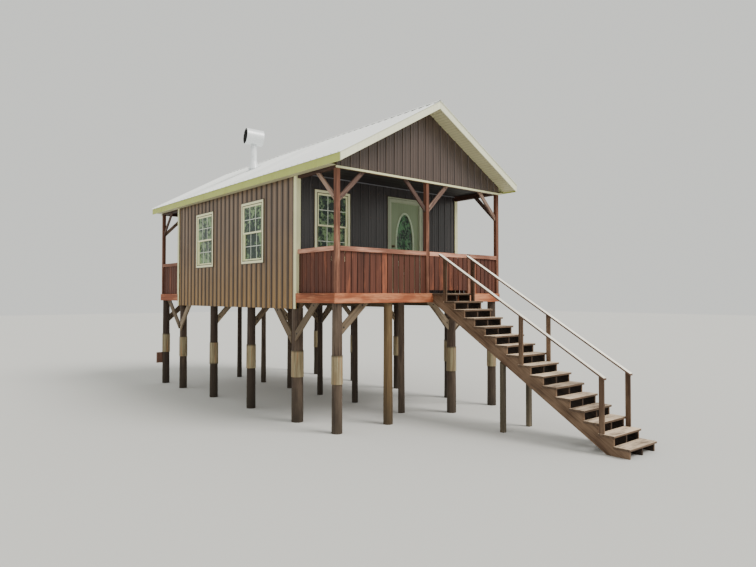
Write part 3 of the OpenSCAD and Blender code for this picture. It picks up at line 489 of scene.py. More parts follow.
def link(name, mesh, material, body, smooth=False, second=None):
    """Makes the object of a finished mesh and lets it ride on its body."""
    mesh.materials.append(material)
    if second:
        mesh.materials.append(second)
    for face in mesh.polygons:
        face.use_smooth = smooth
    piece = bpy.data.objects.new(name, mesh)
    bpy.context.scene.collection.objects.link(piece)
    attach(piece, body)
    return piece


def lies(along, face):
    """Whether a face is on a board that doesn't stand upright."""
    return abs(along.z) < 0.9


def runs_back(along, face):
    """Whether a face is on a board that runs from the front to the back."""
    return abs(along.y) > 0.9


def looks_inwards(along, face):
    """Whether a face is on the middle stringer or on the inner side of another, where the shade between
    the treads is painted.
    """
    stair_low, stair_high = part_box("stringers")
    off_middle = face.calc_center_median().x - (stair_low.x + stair_high.x) / 2
    return abs(off_middle) < 0.1 or (abs(face.normal.x) > 0.9 and off_middle * face.normal.x < 0)


def timber(node, material, ease=0.003, stray=0.0, second=None, chosen=lies):
    """Stands for a node of boards, with grain, a tone for every board, and eased edges.

    second is another finish, for the faces that chosen picks by their board's direction and by themselves.
    """
    mesh = merged(node)
    mesh.edges.index_update()
    mesh.faces.index_update()
    dice = random.Random(node)
    grain = mesh.verts.layers.float_vector.new("grain")
    tone = mesh.verts.layers.float.new("tone")
    groups = islands(mesh)
    for group in groups:
        along, across, thick = board_axes(group)
        shift = Vector([dice.uniform(0, 40) for _ in range(3)])
        value = dice.random()
        slide = across * dice.uniform(-stray, stray)
        for vertex in group:
            local = Vector((vertex.co.dot(along), vertex.co.dot(across), vertex.co.dot(thick)))
            vertex[grain] = local + shift
            vertex[tone] = value
            vertex.co += slide
        for face in {face for vertex in group for face in vertex.link_faces}:
            face.material_index = int(bool(second) and chosen(along, face))
    if ease:
        sharp = [edge for edge in mesh.edges if edge.is_manifold and edge.calc_face_angle(0) > 0.5]
        bmesh.ops.bevel(mesh, geom=sharp, offset=ease, segments=1, affect="EDGES", clamp_overlap=True)
    data = bpy.data.meshes.new(node + "_boards")
    mesh.to_mesh(data)
    mesh.free()
    piece = link(node + "_boards", data, material, body_of[node], second=second)
    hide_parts(node)
    return len(groups)


# %% [markdown]
# Framing, decks, posts, braces, rails and the stair are all sawn boards, so
# one call each is enough. The palings of the railings are set by eye on a real
# porch, so they stray a few millimetres. The stair's stain is near black on the
# middle stringer and the inner sides of the others: painted shade between the
# treads.

# %% Timber pieces
plain_timber = [
    "under_braces", "floor_girders", "cabin_floor_frame", "porch_decks", "porch_posts",
    "treads", "handrail_posts", "handrails", "pole_board",
]
boards = sum(timber(node, timber_finish[slot_of[node]]) for node in plain_timber)
boards += timber("porch_headers", header_wood)
boards += timber("porch_braces", shaded_stain)
boards += timber("stringers", stair_wood, second=stair_shade_stain, chosen=looks_inwards)
boards += timber("stair_posts", stair_post_stain_and_shade)
for node in ("front_porch_frame", "back_porch_frame"):
    boards += timber(node, rim_wood)
railings = ("front_railings", "side_railings", "back_railings", "gate")
for node in railings:
    boards += timber(node, paling_wood, ease=0.002, stray=0.004, second=rail_top_wood)
print("boards dressed:", boards)

# %% [markdown]
# Painted trim, folded sheet metal and glass need no grain. What makes them
# look real is dirt that gathers slowly: soft streaks that run down, a little
# mottling, and a tone that differs from piece to piece. The wall sheets, the
# eave and rake trim and the roof also carry painted light and shade.

# %% Painted and metal finishes
def streaks(finish, along=1.2, across=38.0):
    """Soft noise drawn out along Z, for what rain leaves on a wall."""
    return finish.noise(finish.scaled(finish.place(), across, across, along), 1.0, 5.0, 0.6)


def painted(name, colour, shadow, rough=0.5, streak=0.35):
    """Paint or pale plastic. streak is how much of the shadow tone the rain has left."""
    finish = Finish(name, {"Specular IOR Level": 0.4})
    cloud = finish.noise(finish.place(), 2.4, 5.0, 0.6)
    runs = streaks(finish)
    dirty = (cloud * 0.5 + runs * 0.6).between(0.50, 0.78) * streak
    body = finish.mix(dirty, colour, shadow)
    finish.colour(finish.shade(body, 0.95 + finish.stored("tone") * 0.10))
    finish.rough(rough + (cloud - 0.5) * 0.25)
    finish.bump(runs * 0.5 + cloud * 0.5, 0.0015, 0.35)
    return finish.material


rib_crest, rib_foot = 0.008, 0.026


# The width called dirt is how wide the band of painted shade along the foot of each rib is.
def ribbed_sheet(name, colour, bounce_light_colour, shadow, axis, start, dirt=0.014):
    """Painted siding, four ribs to a sheet and each sheet in its own tone.

    The ribs follow each other along the axis from start. A band of painted shade lies along the foot of
    each rib, a painted highlight along its crest, and low on the wall the low colour paints light bounced
    up from the ground.
    """
    finish = Finish(name, {"Specular IOR Level": 0.5, "Coat Roughness": 0.35, "Coat Weight": 0.12})
    place = finish.place()
    height = finish.parts(place)[2]
    bay = (finish.parts(place)[axis] - start) / rib_pitch
    from_rib = (bay.fraction() - 0.5).abs() * rib_pitch
    sheet = finish.random((bay / 4).floor())
    runs = streaks(finish)
    cloud = finish.noise(place, 1.1, 4.0, 0.6)
    # Towards the foot of the wall, fading out about a metre and a half above the deck, the sheet turns to
    # the low colour: painted light bounced up from the ground.
    low = 1 - (height + (cloud - 0.5) * 0.8).between(deck_z - 0.3, deck_z + 1.5)
    body = finish.mix(low, colour, bounce_light_colour)
    body = finish.mix((runs * 0.7 + cloud * 0.4).between(0.52, 0.80) * 0.5, body, shadow)
    # A painted highlight along the crest of every rib.
    body = finish.shade(body, 1 + from_rib.between(rib_crest * 2, rib_crest) * 0.45)
    # A band of painted shade along the foot of every rib, on both sides, in the shadow tone.
    foot = (from_rib - rib_foot).abs().between(dirt, dirt - 0.010)
    body = finish.mix(foot * 0.88, body, shadow)
    finish.colour(finish.shade(body, 0.90 + sheet * 0.20))
    finish.rough(0.36 + (cloud - 0.5) * 0.3 + (runs - 0.5) * 0.15)
    finish.bump(cloud, 0.010, 0.35)
    return finish.material


def bare_metal(name, colour, dull, rough, metallic, sheet_width=0.0):
    """Unpainted sheet. A sheet width gives every roof sheet its own tone."""
    finish = Finish(name, {"Metallic": metallic})
    place = finish.place()
    cloud = finish.noise(place, 3.0, 5.0, 0.65)
    runs = finish.noise(finish.scaled(place, 1.4, 34.0, 1.4), 1.0, 5.0, 0.6)
    body = finish.mix((cloud * 0.5 + runs * 0.55).between(0.45, 0.72) * 0.5, colour, dull)
    if sheet_width:
        sheet = finish.random((finish.parts(place)[1] / sheet_width).floor())
        body = finish.shade(body, 0.93 + sheet * 0.12)
    finish.colour(body)
    finish.rough(rough + (cloud - 0.5) * 0.22)
    finish.bump(cloud * 0.6 + runs * 0.4, 0.004, 0.3)
    return finish.material


# All walls are clad with the same brown sheet. The sides' warmer low colour paints light bounced up from
# the ground, and the far darker tones of the gable and the porch walls paint the shade under the rakes and
# the porch roofs.
side_tones = (0.228, 0.147, 0.090), (0.318, 0.172, 0.044), (0.024, 0.013, 0.008)
gable_shade_tones = (0.078, 0.053, 0.043), (0.078, 0.053, 0.043), (0.028, 0.018, 0.014)
porch_shade_tones = (0.040, 0.034, 0.034), (0.040, 0.034, 0.034), (0.016, 0.0135, 0.0145)
side_siding = ribbed_sheet("brown_side_siding", *side_tones, 1, cabin_front, dirt=0.030)
gable_siding = ribbed_sheet("brown_gable_siding", *gable_shade_tones, 0, -half_w)
front_siding = ribbed_sheet("brown_front_siding", *porch_shade_tones, 0, -half_w)
back_siding = ribbed_sheet("brown_back_siding", *porch_shade_tones, 0, half_w)
cream = painted("cream_trim", (0.82, 0.81, 0.49), (0.44, 0.42, 0.20))
window_white = painted("window_white", (0.96, 0.96, 0.62), (0.64, 0.63, 0.34), rough=0.4, streak=0.25)
# Eave boards and rakes have the same cream trim. The eave's darker, greener cream paints the shade along
# the eaves, and the rakes' paler cream paints the light on them.
eave_cream_shaded = painted("cream_eave_trim", (0.50, 0.55, 0.14), (0.32, 0.34, 0.08))
rake_cream_lit = painted("cream_rake_trim", (0.91, 0.92, 0.68), (0.54, 0.52, 0.34))
door_paint = painted("sage_door_paint", (0.25, 0.32, 0.185), (0.16, 0.19, 0.11), rough=0.42)
frame_paint = painted("sage_frame_paint", (0.40, 0.445, 0.31), (0.24, 0.265, 0.17), rough=0.45)
lining = painted("inner_lining", (0.52, 0.45, 0.33), (0.40, 0.33, 0.22), rough=0.75, streak=0.4)
# The roof is pale sheet, and its near-white colour with little metal in it also paints the sheen of the
# bright sky on the slopes.
roof_sheen_tones = (0.98, 1.0, 0.99), (0.88, 0.92, 0.89)
roof_metal_and_sheen = bare_metal("bright_roof_sheet", *roof_sheen_tones, 0.42, 0.08, sheet_width=rib_pitch * 4)
vent_metal = bare_metal("vent_steel", (0.95, 0.98, 1.0), (0.80, 0.84, 0.86), 0.36, 0.18)
# Near black for the faces inside the vent's barrel.
barrel_inside = painted("sooty_inside", (0.045, 0.045, 0.043), (0.016, 0.015, 0.014), rough=0.85)
iron = bare_metal("black_iron", (0.045, 0.042, 0.040), (0.11, 0.062, 0.040), 0.55, 0.6)
brass = bare_metal("worn_brass", (0.13, 0.100, 0.055), (0.065, 0.050, 0.030), 0.38, 0.7)
screw_metal = bare_metal("zinc_screws", (0.48, 0.47, 0.44), (0.26, 0.22, 0.17), 0.45, 0.7)
brown_screws = painted("brown_screw_heads", (0.16, 0.10, 0.060), (0.085, 0.050, 0.030), rough=0.45)
print("finishes so far:", len(bpy.data.materials))

# %% [markdown]
# Four finishes have habits of their own: floor and ceiling boards are drawn by
# the finish because the frame keeps them as one slab, the soffit is a folded
# panel with a groove every few centimetres, the collars are thin tan sheet
# with bands at both ends, and the glass is dark because the rooms are.

# %% Boards, soffit, collars and glass
def planked(name, dark, mid, axis, width, gloss):
    """Boards laid side by side along an axis, drawn on a slab."""
    finish = Finish(name, {"Specular IOR Level": 0.3})
    place = finish.place()
    across = finish.parts(place)[axis] / width
    tone = finish.random(across.floor())
    fine = [60.0, 60.0, 60.0]
    fine[1 - axis] = 1.8
    fibres = finish.noise(finish.scaled(place, *fine), 1.0, 6.0, 0.6)
    body = finish.mix((fibres + tone * 0.18).between(0.40, 0.78), dark, mid)
    joint = (across.fraction() - 0.5).abs().between(0.46, 0.49)
    finish.colour(finish.shade(body, (0.82 + tone * 0.36) * (1 - joint * 0.75)))
    finish.rough(gloss + (fibres - 0.5) * 0.2)
    finish.bump(fibres * 0.3 - joint, 0.004, 0.7)
    return finish.material


fold_pitch = 0.0762


def soffit_panel():
    """Folded panels under the eaves, with a groove at every fold."""
    finish = Finish("vented_soffit", {"Specular IOR Level": 0.35})
    grain = finish.stored("grain", "Vector")
    along = finish.parts(grain)[0] / fold_pitch
    groove = (along.fraction() - 0.5).abs().between(0.40, 0.48)
    cloud = finish.noise(finish.place(), 3.0, 4.0, 0.6)
    body = finish.mix(cloud.between(0.4, 0.75) * 0.3, (0.60, 0.58, 0.36), (0.40, 0.37, 0.22))
    finish.colour(finish.shade(body, 1 - groove * 0.32))
    finish.rough(0.5 + (cloud - 0.5) * 0.2)
    finish.bump(1 - groove, 0.006, 0.8)
    return finish.material


def collar_sheet():
    """Thin tan sheet with rust, green dirt and a dark band at both ends of a collar."""
    finish = Finish("tan_collar_sheet", {"Specular IOR Level": 0.35})
    place = finish.place()
    height = finish.parts(place)[2]
    low, high = [corner.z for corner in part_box("pole_collars")]
    runs = streaks(finish, 1.5, 30.0)
    cloud = finish.noise(place, 5.0, 5.0, 0.65)
    middle, reach = (low + high) / 2, (high - low) / 2
    band = ((height - middle).abs() + (cloud - 0.5) * 0.03).between(reach - 0.045, reach - 0.012)
    body = finish.mix(runs.between(0.42, 0.62), (0.210, 0.158, 0.086), (0.350, 0.298, 0.176))
    rust = finish.noise(finish.scaled(place, 22.0, 22.0, 0.9), 1.0, 3.0, 0.5)
    body = finish.mix(rust.between(0.56, 0.66) * 0.6, body, (0.42, 0.205, 0.085))
    body = finish.mix(cloud.between(0.56, 0.74) * 0.6, body, (0.12, 0.105, 0.045))
    finish.colour(finish.mix(band * 0.75, body, (0.055, 0.042, 0.026)))
    finish.rough(0.6 + (cloud - 0.5) * 0.3)
    finish.bump(runs * 0.5 + cloud * 0.5, 0.004, 0.5)
    return finish.material


def glass(name, dark, pale, share, alpha, rough):
    """Dark glass with a broken, pale reflection over a share of its face."""
    finish = Finish(name, {"Specular IOR Level": 0.3})
    cloud = finish.noise(finish.place(), 1.9, 3.0, 0.6)
    broken = finish.noise(finish.place(), 9.0, 6.0, 0.72)
    reflection = (broken * 0.6 + cloud * 0.4).between(0.56 - share * 0.12, 0.62 - share * 0.10)
    finish.colour(finish.mix(reflection, dark, pale))
    finish.rough(rough + cloud * 0.06)
    finish.put(finish.shader.inputs["Alpha"], alpha + (cloud - 0.5) * 0.08)
    finish.bump(cloud, 0.003, 0.25)
    return finish.material


# The porch ceilings are near black: painted shade under the roofs.
ceiling_boards = planked("ceiling_boards", (0.018, 0.016, 0.016), (0.040, 0.035, 0.036), 1, 0.10, 0.7)
floor_boards = planked("cabin_floor_boards", (0.17, 0.10, 0.055), (0.32, 0.21, 0.12), 0, 0.085, 0.4)
soffit_cream = soffit_panel()
collar_tan = collar_sheet()
window_glass = glass("dark_window_glass", (0.016, 0.036, 0.026), (0.24, 0.36, 0.17), 0.6, 0.94, 0.05)
door_glass = glass("patterned_glass", (0.008, 0.036, 0.014), (0.09, 0.25, 0.10), 0.8, 0.96, 0.2)
print("finishes so far:", len(bpy.data.materials))

# %% [markdown]
# Walls, sheets and panes keep their own solids and only take a finish. Trim
# and frames go through the same copy as the timber, so that their edges catch
# a line of light. Turned and rolled pieces are smoothed, except at edges
# sharper than thirty degrees.

# %% Dress the solids
def dress(node, material):
    """Gives a solid of the frame its finish."""
    data = frame["nodes"][node].data
    data.materials.clear()
    data.materials.append(material)


def rounded(node, material, inside=None):
    """A smooth copy of a turned or rolled solid, standing for the solid.

    inside is another finish for the faces that look at the middle.
    """
    mesh = merged(node)
    middle = sum((vertex.co for vertex in mesh.verts), Vector()) / len(mesh.verts)
    for face in mesh.faces:
        outward = (face.calc_center_median() - middle).dot(face.normal) > 0
        face.material_index = 0 if outward or not inside else 1
    data = bpy.data.meshes.new(node + "_smooth")
    mesh.to_mesh(data)
    mesh.free()
    piece = link(node + "_smooth", data, material, body_of[node], True, inside)
    data.set_sharp_from_angle(angle=math.radians(30.0))
    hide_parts(node)


for node in ("left_siding", "right_siding"):
    dress(node, side_siding)
dress("front_siding", front_siding)
dress("back_siding", back_siding)
dress("gable_siding", gable_siding)
for node, slot in slot_of.items():
    if slot == "lining" or node == "gable_walls":
        dress(node, lining)
dress("ceilings", ceiling_boards)
dress("cabin_floor", floor_boards)
dress("roof_sheets", roof_metal_and_sheen)
dress("window_panes", window_glass)
for node in ("left_roof", "right_roof"):
    dress(node, cream)
for node in ("corner_trims", "gable_trims"):
    timber(node, cream, ease=0.0015)
# Boards that run to the back are the eave boards: they take the cream in painted shade, and the rakes the
# cream in painted light.
timber("fascias", rake_cream_lit, ease=0.0015, second=eave_cream_shaded, chosen=runs_back)
timber("soffits", soffit_cream, ease=0.001)
timber("window_frames", window_white, ease=0.002)
timber("front_door_frame", frame_paint, ease=0.002)
timber("front_door", door_paint, ease=0.0015)
timber("back_door", door_paint, ease=0.0015)
timber("ridge_cap", roof_metal_and_sheen, ease=0.001)
rounded("vent_pipe", vent_metal)
rounded("vent_cap", vent_metal, inside=barrel_inside)
for node in ("door_hinge_pins", "door_hinge_leaves", "door_knob"):
    rounded(node, brass)
for node in ("gate_pintles", "gate_straps"):
    rounded(node, iron)
rounded("door_glass", door_glass)
rounded("pole_collars", collar_tan)
print("dressed solids and copies:", len(slot_of))

# %% [markdown]
# What repeats is grown with Geometry Nodes. A tree starts from bare points or
# edges that the script works out from the solids, and reads what is stored on
# them. The result is kept as a plain mesh and the modifier is dropped.

# %% Grow pieces from points
class Tree(Graph):
    """A Geometry Nodes tree with named inputs."""

    def __init__(self, name, inputs):
        super().__init__(bpy.data.node_groups.new(name, "GeometryNodeTree"))
        faces = self.tree.interface
        faces.new_socket("Geometry", in_out="INPUT", socket_type="NodeSocketGeometry")
        for label, kind in inputs.items():
            faces.new_socket(label, in_out="INPUT", socket_type="NodeSocket" + kind)
        faces.new_socket("Material", in_out="INPUT", socket_type="NodeSocketMaterial")
        faces.new_socket("Geometry", in_out="OUTPUT", socket_type="NodeSocketGeometry")
        self.entry = self.tree.nodes.new("NodeGroupInput")
        self.exit = self.tree.nodes.new("NodeGroupOutput")

    def given(self, label):
        return Wire(self, self.entry.outputs[label])

    def read(self, label):
        settings = {"data_type": "FLOAT_VECTOR"}
        return self.node("GeometryNodeInputNamedAttribute", settings, {"Name": label})

    def vector(self, x=0.0, y=0.0, z=0.0):
        return self.node("ShaderNodeCombineXYZ", sockets={"X": x, "Y": y, "Z": z})

    def maths(self, operation, a, b):
        return self.node("ShaderNodeVectorMath", {"operation": operation}, {0: a, 1: b})

    def close(self, geometry):
        """Ends the tree with real geometry in the given material."""
        real = self.node("GeometryNodeRealizeInstances", sockets={"Geometry": geometry})
        sockets = {"Geometry": real, "Material": self.given("Material")}
        self.put(self.exit.inputs["Geometry"], self.node("GeometryNodeSetMaterial", sockets=sockets))


def grow(name, tree, mesh, inputs, like, smooth=False, body=None):
    """Runs a tree on a mesh and keeps the outcome as a plain piece.

    The piece rides on the same body as the node that it is like, unless one is named.
    """
    source = bpy.data.objects.new(name + "_source", mesh)
    bpy.context.scene.collection.objects.link(source)
    modifier = source.modifiers.new("grow", "NODES")
    modifier.node_group = tree.tree
    for item in tree.tree.interface.items_tree:
        if item.in_out == "INPUT" and item.name in inputs:
            modifier[item.identifier] = inputs[item.name]
    ready = source.evaluated_get(bpy.context.evaluated_depsgraph_get())
    grown = bpy.data.meshes.new_from_object(ready)
    source.modifiers.remove(modifier)
    bpy.data.objects.remove(source)
    grown.name = name
    grown.materials.clear()
    link(name, grown, inputs["Material"], body or body_of[like], smooth)
    return grown


def bare_mesh(name, points, edges=(), **vectors):
    """A mesh of points and edges, with named vectors stored on the points."""
    mesh = bpy.data.meshes.new(name)
    mesh.from_pydata([tuple(point) for point in points], list(edges), [])
    for label, values in vectors.items():
        layer = mesh.attributes.new(label, "FLOAT_VECTOR", "POINT")
        for row, value in zip(layer.data, values):
            row.vector = value
    return mesh


# %% [markdown]
# Three trees are enough for nearly all small pieces: heads for screws, bolts
# and rivets, square bars, and round rods. Every tree has named inputs, so one
# tree makes roof screws, deck screws and brace bolts.

# %% Heads, bars and rods
def heads_tree():
    """Screw and bolt heads: a prism on a thin washer, turned along the stored aim."""
    inputs = {"Radius": "Float", "Height": "Float", "Washer": "Float", "Sides": "Int"}
    tree = Tree("heads_on_points", inputs)
    tall = tree.given("Height")
    sockets = {"Vertices": tree.given("Sides"), "Radius": tree.given("Radius"), "Depth": tall}
    head = tree.node("GeometryNodeMeshCylinder", sockets=sockets)
    sockets = {"Geometry": head, "Translation": tree.vector(z=tall * 0.5)}
    head = tree.node("GeometryNodeTransform", sockets=sockets)
    sockets = {"Vertices": 12, "Radius": tree.given("Washer"), "Depth": tall * 0.5}
    washer = tree.node("GeometryNodeMeshCylinder", sockets=sockets)
    shape = tree.node("GeometryNodeJoinGeometry", sockets={"Geometry": [head, washer]})
    aim = tree.node("FunctionNodeAlignRotationToVector", {"axis": "Z"}, {"Vector": tree.read("aim")})
    sockets = {"Points": tree.given("Geometry"), "Instance": shape, "Rotation": aim}
    tree.close(tree.node("GeometryNodeInstanceOnPoints", sockets=sockets))
    return tree


def bars_tree():
    """Square bars: a unit cube stretched by the stored size."""
    tree = Tree("bars_on_points", {})
    cube = tree.node("GeometryNodeMeshCube", sockets={"Size": (1.0, 1.0, 1.0)})
    sockets = {"Points": tree.given("Geometry"), "Instance": cube, "Scale": tree.read("size")}
    tree.close(tree.node("GeometryNodeInstanceOnPoints", sockets=sockets))
    return tree


def rods_tree():
    """Round rods that follow the edges of a mesh."""
    tree = Tree("rods_on_edges", {"Radius": "Float", "Sides": "Int"})
    path = tree.node("GeometryNodeMeshToCurve", sockets={"Mesh": tree.given("Geometry")})
    sockets = {"Resolution": tree.given("Sides"), "Radius": tree.given("Radius")}
    circle = tree.node("GeometryNodeCurvePrimitiveCircle", sockets=sockets)
    sockets = {"Curve": path, "Profile Curve": circle, "Fill Caps": True}
    tree.close(tree.node("GeometryNodeCurveToMesh", sockets=sockets))
    return tree


heads_on_points = heads_tree()
bars_on_points = bars_tree()
rods_on_edges = rods_tree()
print("trees:", [group.name for group in bpy.data.node_groups])


def heads(name, spots_and_aims, material, like, radius, height, washer, sides=6):
    """Screws or bolts from pairs of a place and the way that its head looks."""
    points, aims = zip(*spots_and_aims)
    inputs = {"Radius": radius, "Height": height, "Washer": washer, "Sides": sides, "Material": material}
    mesh = bare_mesh(name + "_points", points, aim=aims)
    grow(name, heads_on_points, mesh, inputs, like)
    print(name, len(points))


def bars(name, boxes, material, like):
    """Bars from pairs of opposite corners."""
    middles = [(low + high) / 2 for low, high in boxes]
    mesh = bare_mesh(name + "_points", middles, size=[high - low for low, high in boxes])
    grow(name, bars_on_points, mesh, {"Material": material}, like)
    print(name, len(boxes))


def rods(name, paths, material, like, radius, sides=8, body=None):
    """Rods along open or closed paths. A path is closed when it ends where it starts."""
    points, edges = [], []
    for path in paths:
        closed = (path[0] - path[-1]).length < 1e-6
        first, count = len(points), len(path) - closed
        points += path[:count]
        edges += [(first + i, first + i + 1) for i in range(count - 1)]
        if closed:
            edges.append((first + count - 1, first))
    mesh = bare_mesh(name + "_path", points, edges)
    inputs = {"Radius": radius, "Sides": sides, "Material": material}
    grow(name, rods_on_edges, mesh, inputs, like, smooth=True, body=body)
    print(name, len(paths))


# %% [markdown]
# The poles are round logs, and a straight cone would look turned. Here each
# pole is a stretched cylinder whose skin is pressed inwards by long noise, by
# about a centimetre at most, so it never leaves its solid. The tree also stores
# the grain, and so the sawn timber's finish works on round wood as well.

# %% Poles
def poles_tree():
    """Logs on points that store each log's middle, size, seed, and its taper and tone."""
    tree = Tree("logs_on_points", {"Depth": "Float"})
    sockets = {"Vertices": 40, "Side Segments": 54, "Radius": 1.0, "Depth": 1.0}
    cylinder = tree.node("GeometryNodeMeshCylinder", sockets=sockets)
    sockets = {"Points": tree.given("Geometry"), "Instance": cylinder, "Scale": tree.read("size")}
    logs = tree.node("GeometryNodeInstanceOnPoints", sockets=sockets)
    logs = tree.node("GeometryNodeRealizeInstances", sockets={"Geometry": logs})
    place = tree.node("GeometryNodeInputPosition")
    from_axis = tree.maths("SUBTRACT", place, tree.read("middle"))
    flat = tree.maths("MULTIPLY", from_axis, (1.0, 1.0, 0.0))
    height = tree.node("ShaderNodeSeparateXYZ", sockets={"Vector": place}, out="Z")
    seeded = tree.maths("ADD", place, tree.read("seed"))
    dented = tree.maths("MULTIPLY", seeded, (16.0, 16.0, 0.9))
    sockets = {"Vector": dented, "Scale": 1.0, "Detail": 4.0}
    dents = tree.node("ShaderNodeTexNoise", sockets=sockets).between(0.30, 0.75)
    cracked = tree.maths("MULTIPLY", seeded, (9.0, 9.0, 0.45))
    sockets = {"Vector": cracked, "Scale": 1.0, "Detail": 2.0}
    crack = (tree.node("ShaderNodeTexNoise", sockets=sockets) - 0.5).abs().between(0.022, 0.0)
    taper = tree.node("ShaderNodeSeparateXYZ", sockets={"Vector": tree.read("taper")}, out="X")
    thinner = (height * taper + dents * 0.45 + crack * 0.55) * tree.given("Depth")
    pull = tree.node("ShaderNodeVectorMath", {"operation": "NORMALIZE"}, {0: flat})
    pull = tree.node("ShaderNodeVectorMath", {"operation": "SCALE"}, {0: pull, "Scale": thinner * -1.0})
    logs = tree.node("GeometryNodeSetPosition", sockets={"Geometry": logs, "Offset": pull})
    split = tree.node("ShaderNodeSeparateXYZ", sockets={"Vector": seeded}).socket.node.outputs
    grain = tree.vector(Wire(tree, split["Z"]), Wire(tree, split["X"]), Wire(tree, split["Y"]))
    tone = tree.node("ShaderNodeSeparateXYZ", sockets={"Vector": tree.read("taper")}, out="Y")
    for label, kind, value in (("grain", "FLOAT_VECTOR", grain), ("tone", "FLOAT", tone)):
        settings = {"data_type": kind, "domain": "POINT"}
        sockets = {"Geometry": logs, "Name": label, "Value": value}
        logs = tree.node("GeometryNodeStoreNamedAttribute", settings, sockets)
    tree.close(logs)
    return tree


def logs(name, node, material, depth=0.011):
    """Logs for all round solids of a node. depth is how far their skin is pressed in at most."""
    dice = random.Random(name)
    middles, sizes, seeds, tapers = [], [], [], []
    for group in spots(node):
        low, high = box_of(group)
        middle, size = (low + high) / 2, high - low
        top = [spot - middle for spot in group if spot.z > high.z - 1e-4]
        top_r = max(Vector((spot.x, spot.y)).length for spot in top)
        middles.append(middle)
        sizes.append(Vector((size.x / 2, size.x / 2, size.z)))
        seeds.append(Vector([dice.uniform(0, 30) for _ in range(3)]))
        tapers.append(Vector(((size.x / 2 - top_r) / size.z / depth, dice.random(), 0)))
    mesh = bare_mesh(name + "_points", middles, middle=middles, size=sizes, seed=seeds, taper=tapers)
    data = grow(name, poles_tree(), mesh, {"Depth": depth, "Material": material}, node, smooth=True)
    data.set_sharp_from_angle(angle=math.radians(50.0))
    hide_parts(node)
    print(name, len(middles))


pole_tones = (0.032, 0.0195, 0.0135), (0.074, 0.048, 0.033), (0.114, 0.081, 0.057)
pole_wood = wood("old_pole", *pole_tones, foot_dirt=1.2)
post_tones = (0.105, 0.063, 0.029), (0.220, 0.145, 0.066), (0.335, 0.240, 0.115)
post_wood = wood("bare_pole", *post_tones, foot_dirt=0.9)
logs("round_poles", "poles", pole_wood)
logs("round_post", "bare_post", post_wood)

# %% [markdown]
# Every sash is divided by thin bars into three columns and two rows. They lie
# on both faces of the glass, so that the grid shows its depth when it is seen
# at a slant. Each pane tells by its thinnest direction which way is out.

# %% Window bars
sunk = 0.001


def grid(low, high, columns=3, rows=2, width=0.015, depth=0.007):
    """Bars that divide one pane, on both of its faces, a little sunk into the glass.

    The bars across are less deep than the upright ones, so that no two faces fall together.
    """
    thin = min(range(3), key=lambda axis: high[axis] - low[axis])
    boxes = []
    for face, out in ((low[thin], -1), (high[thin], 1)):
        for axis, count, less in ((1 - thin, columns, 0.0), (2, rows, 0.001)):
            near, far = sorted((face - out * sunk, face + out * (depth - less)))
            for i in range(1, count):
                middle = low[axis] + (high[axis] - low[axis]) * i / count
                a, b = low.copy(), high.copy()
                a[thin], b[thin] = near, far
                a[axis], b[axis] = middle - width / 2, middle + width / 2
                boxes.append((a, b))
    return boxes


bar_white = painted("window_bar_white", (0.78, 0.84, 0.72), (0.52, 0.56, 0.44), rough=0.4, streak=0.25)
window_bars = [bar for pane in boxes_of("window_panes") for bar in grid(*pane)]
bars("window_bars", window_bars, bar_white, "window_frames")

# %% [markdown]
# The door's oval light is leaded: metal strips hold small pieces of patterned
# glass. The strips are rods along curves in the plane of the glass, two rings
# and a chain of leaves. A pale bead covers the edge of the oval on both sides
# of the leaf. All of it rides on the door.

# %% Leaded oval
oval_low, oval_high = boxes_of("door_glass")[0]
oval = (oval_low + oval_high) / 2
oval_half = (oval_high - oval_low) / 2


def ring(middle, one_way, other_way, steps):
    """A closed ring of points. Its half sizes are the lengths of its two ways."""
    turns = [2 * math.pi * i / steps for i in range(steps)]
    points = [middle + one_way * math.cos(turn) + other_way * math.sin(turn) for turn in turns]
    return points + [points[0].copy()]


def ellipse(share, y, wider=0.0):
    """A closed ring round the oval's middle: a share of its size, and wider by some metres."""
    wide, tall = oval_half.x * share + wider, oval_half.z * share + wider
    return ring(Vector((oval.x, y, oval.z)), Vector((wide, 0, 0)), Vector((0, 0, tall)), 48)


def leaf(foot, tip, middle, swell, y, steps=10):
    """A closed leaf between two heights, all as shares of the oval."""
    sides = []
    for i in range(steps + 1):
        out = swell * math.sin(math.pi * i / steps) * oval_half.x
        height = oval.z + (foot + (tip - foot) * i / steps) * oval_half.z
        sides.append((middle * oval_half.x, out, height))
    right = [Vector((oval.x + at + out, y, height)) for at, out, height in sides]
    left = [Vector((oval.x + at - out, y, height)) for at, out, height in reversed(sides[1:-1])]
    return right + left + [right[0].copy()]


def leading(y):
    """The pattern of lead strips on one face of the glass."""
    strips = [ellipse(0.97, y), ellipse(0.80, y)]
    for foot, tip, swell in ((-0.80, -0.30, 0.30), (-0.30, 0.30, 0.44), (0.30, 0.80, 0.30)):
        strips.append(leaf(foot, tip, 0.0, swell, y))
    for side in (-1, 1):
        for foot, tip in ((-0.52, -0.02), (0.02, 0.52)):
            strips.append(leaf(foot, tip, side * 0.60, 0.13, y))
    return strips


lead = bare_metal("lead_strips", (0.26, 0.28, 0.25), (0.15, 0.16, 0.14), 0.42, 0.7)
strips = leading(oval_low.y) + leading(oval_high.y)
rods("leaded_strips", strips, lead, "vent_cap", radius=0.0035, sides=6, body="front_door")
leaf_out, leaf_in = [corner.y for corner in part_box("front_door")]
beads = [ellipse(1.0, y, wider) for y, wider in ((leaf_out, 0.012), (leaf_out, 0.040), (leaf_in, 0.016))]
bead_white = painted("pale_oval_bead", (0.80, 0.92, 0.70), (0.50, 0.56, 0.42), rough=0.4, streak=0.2)
rods("oval_beads", beads, bead_white, "front_door", radius=0.007)

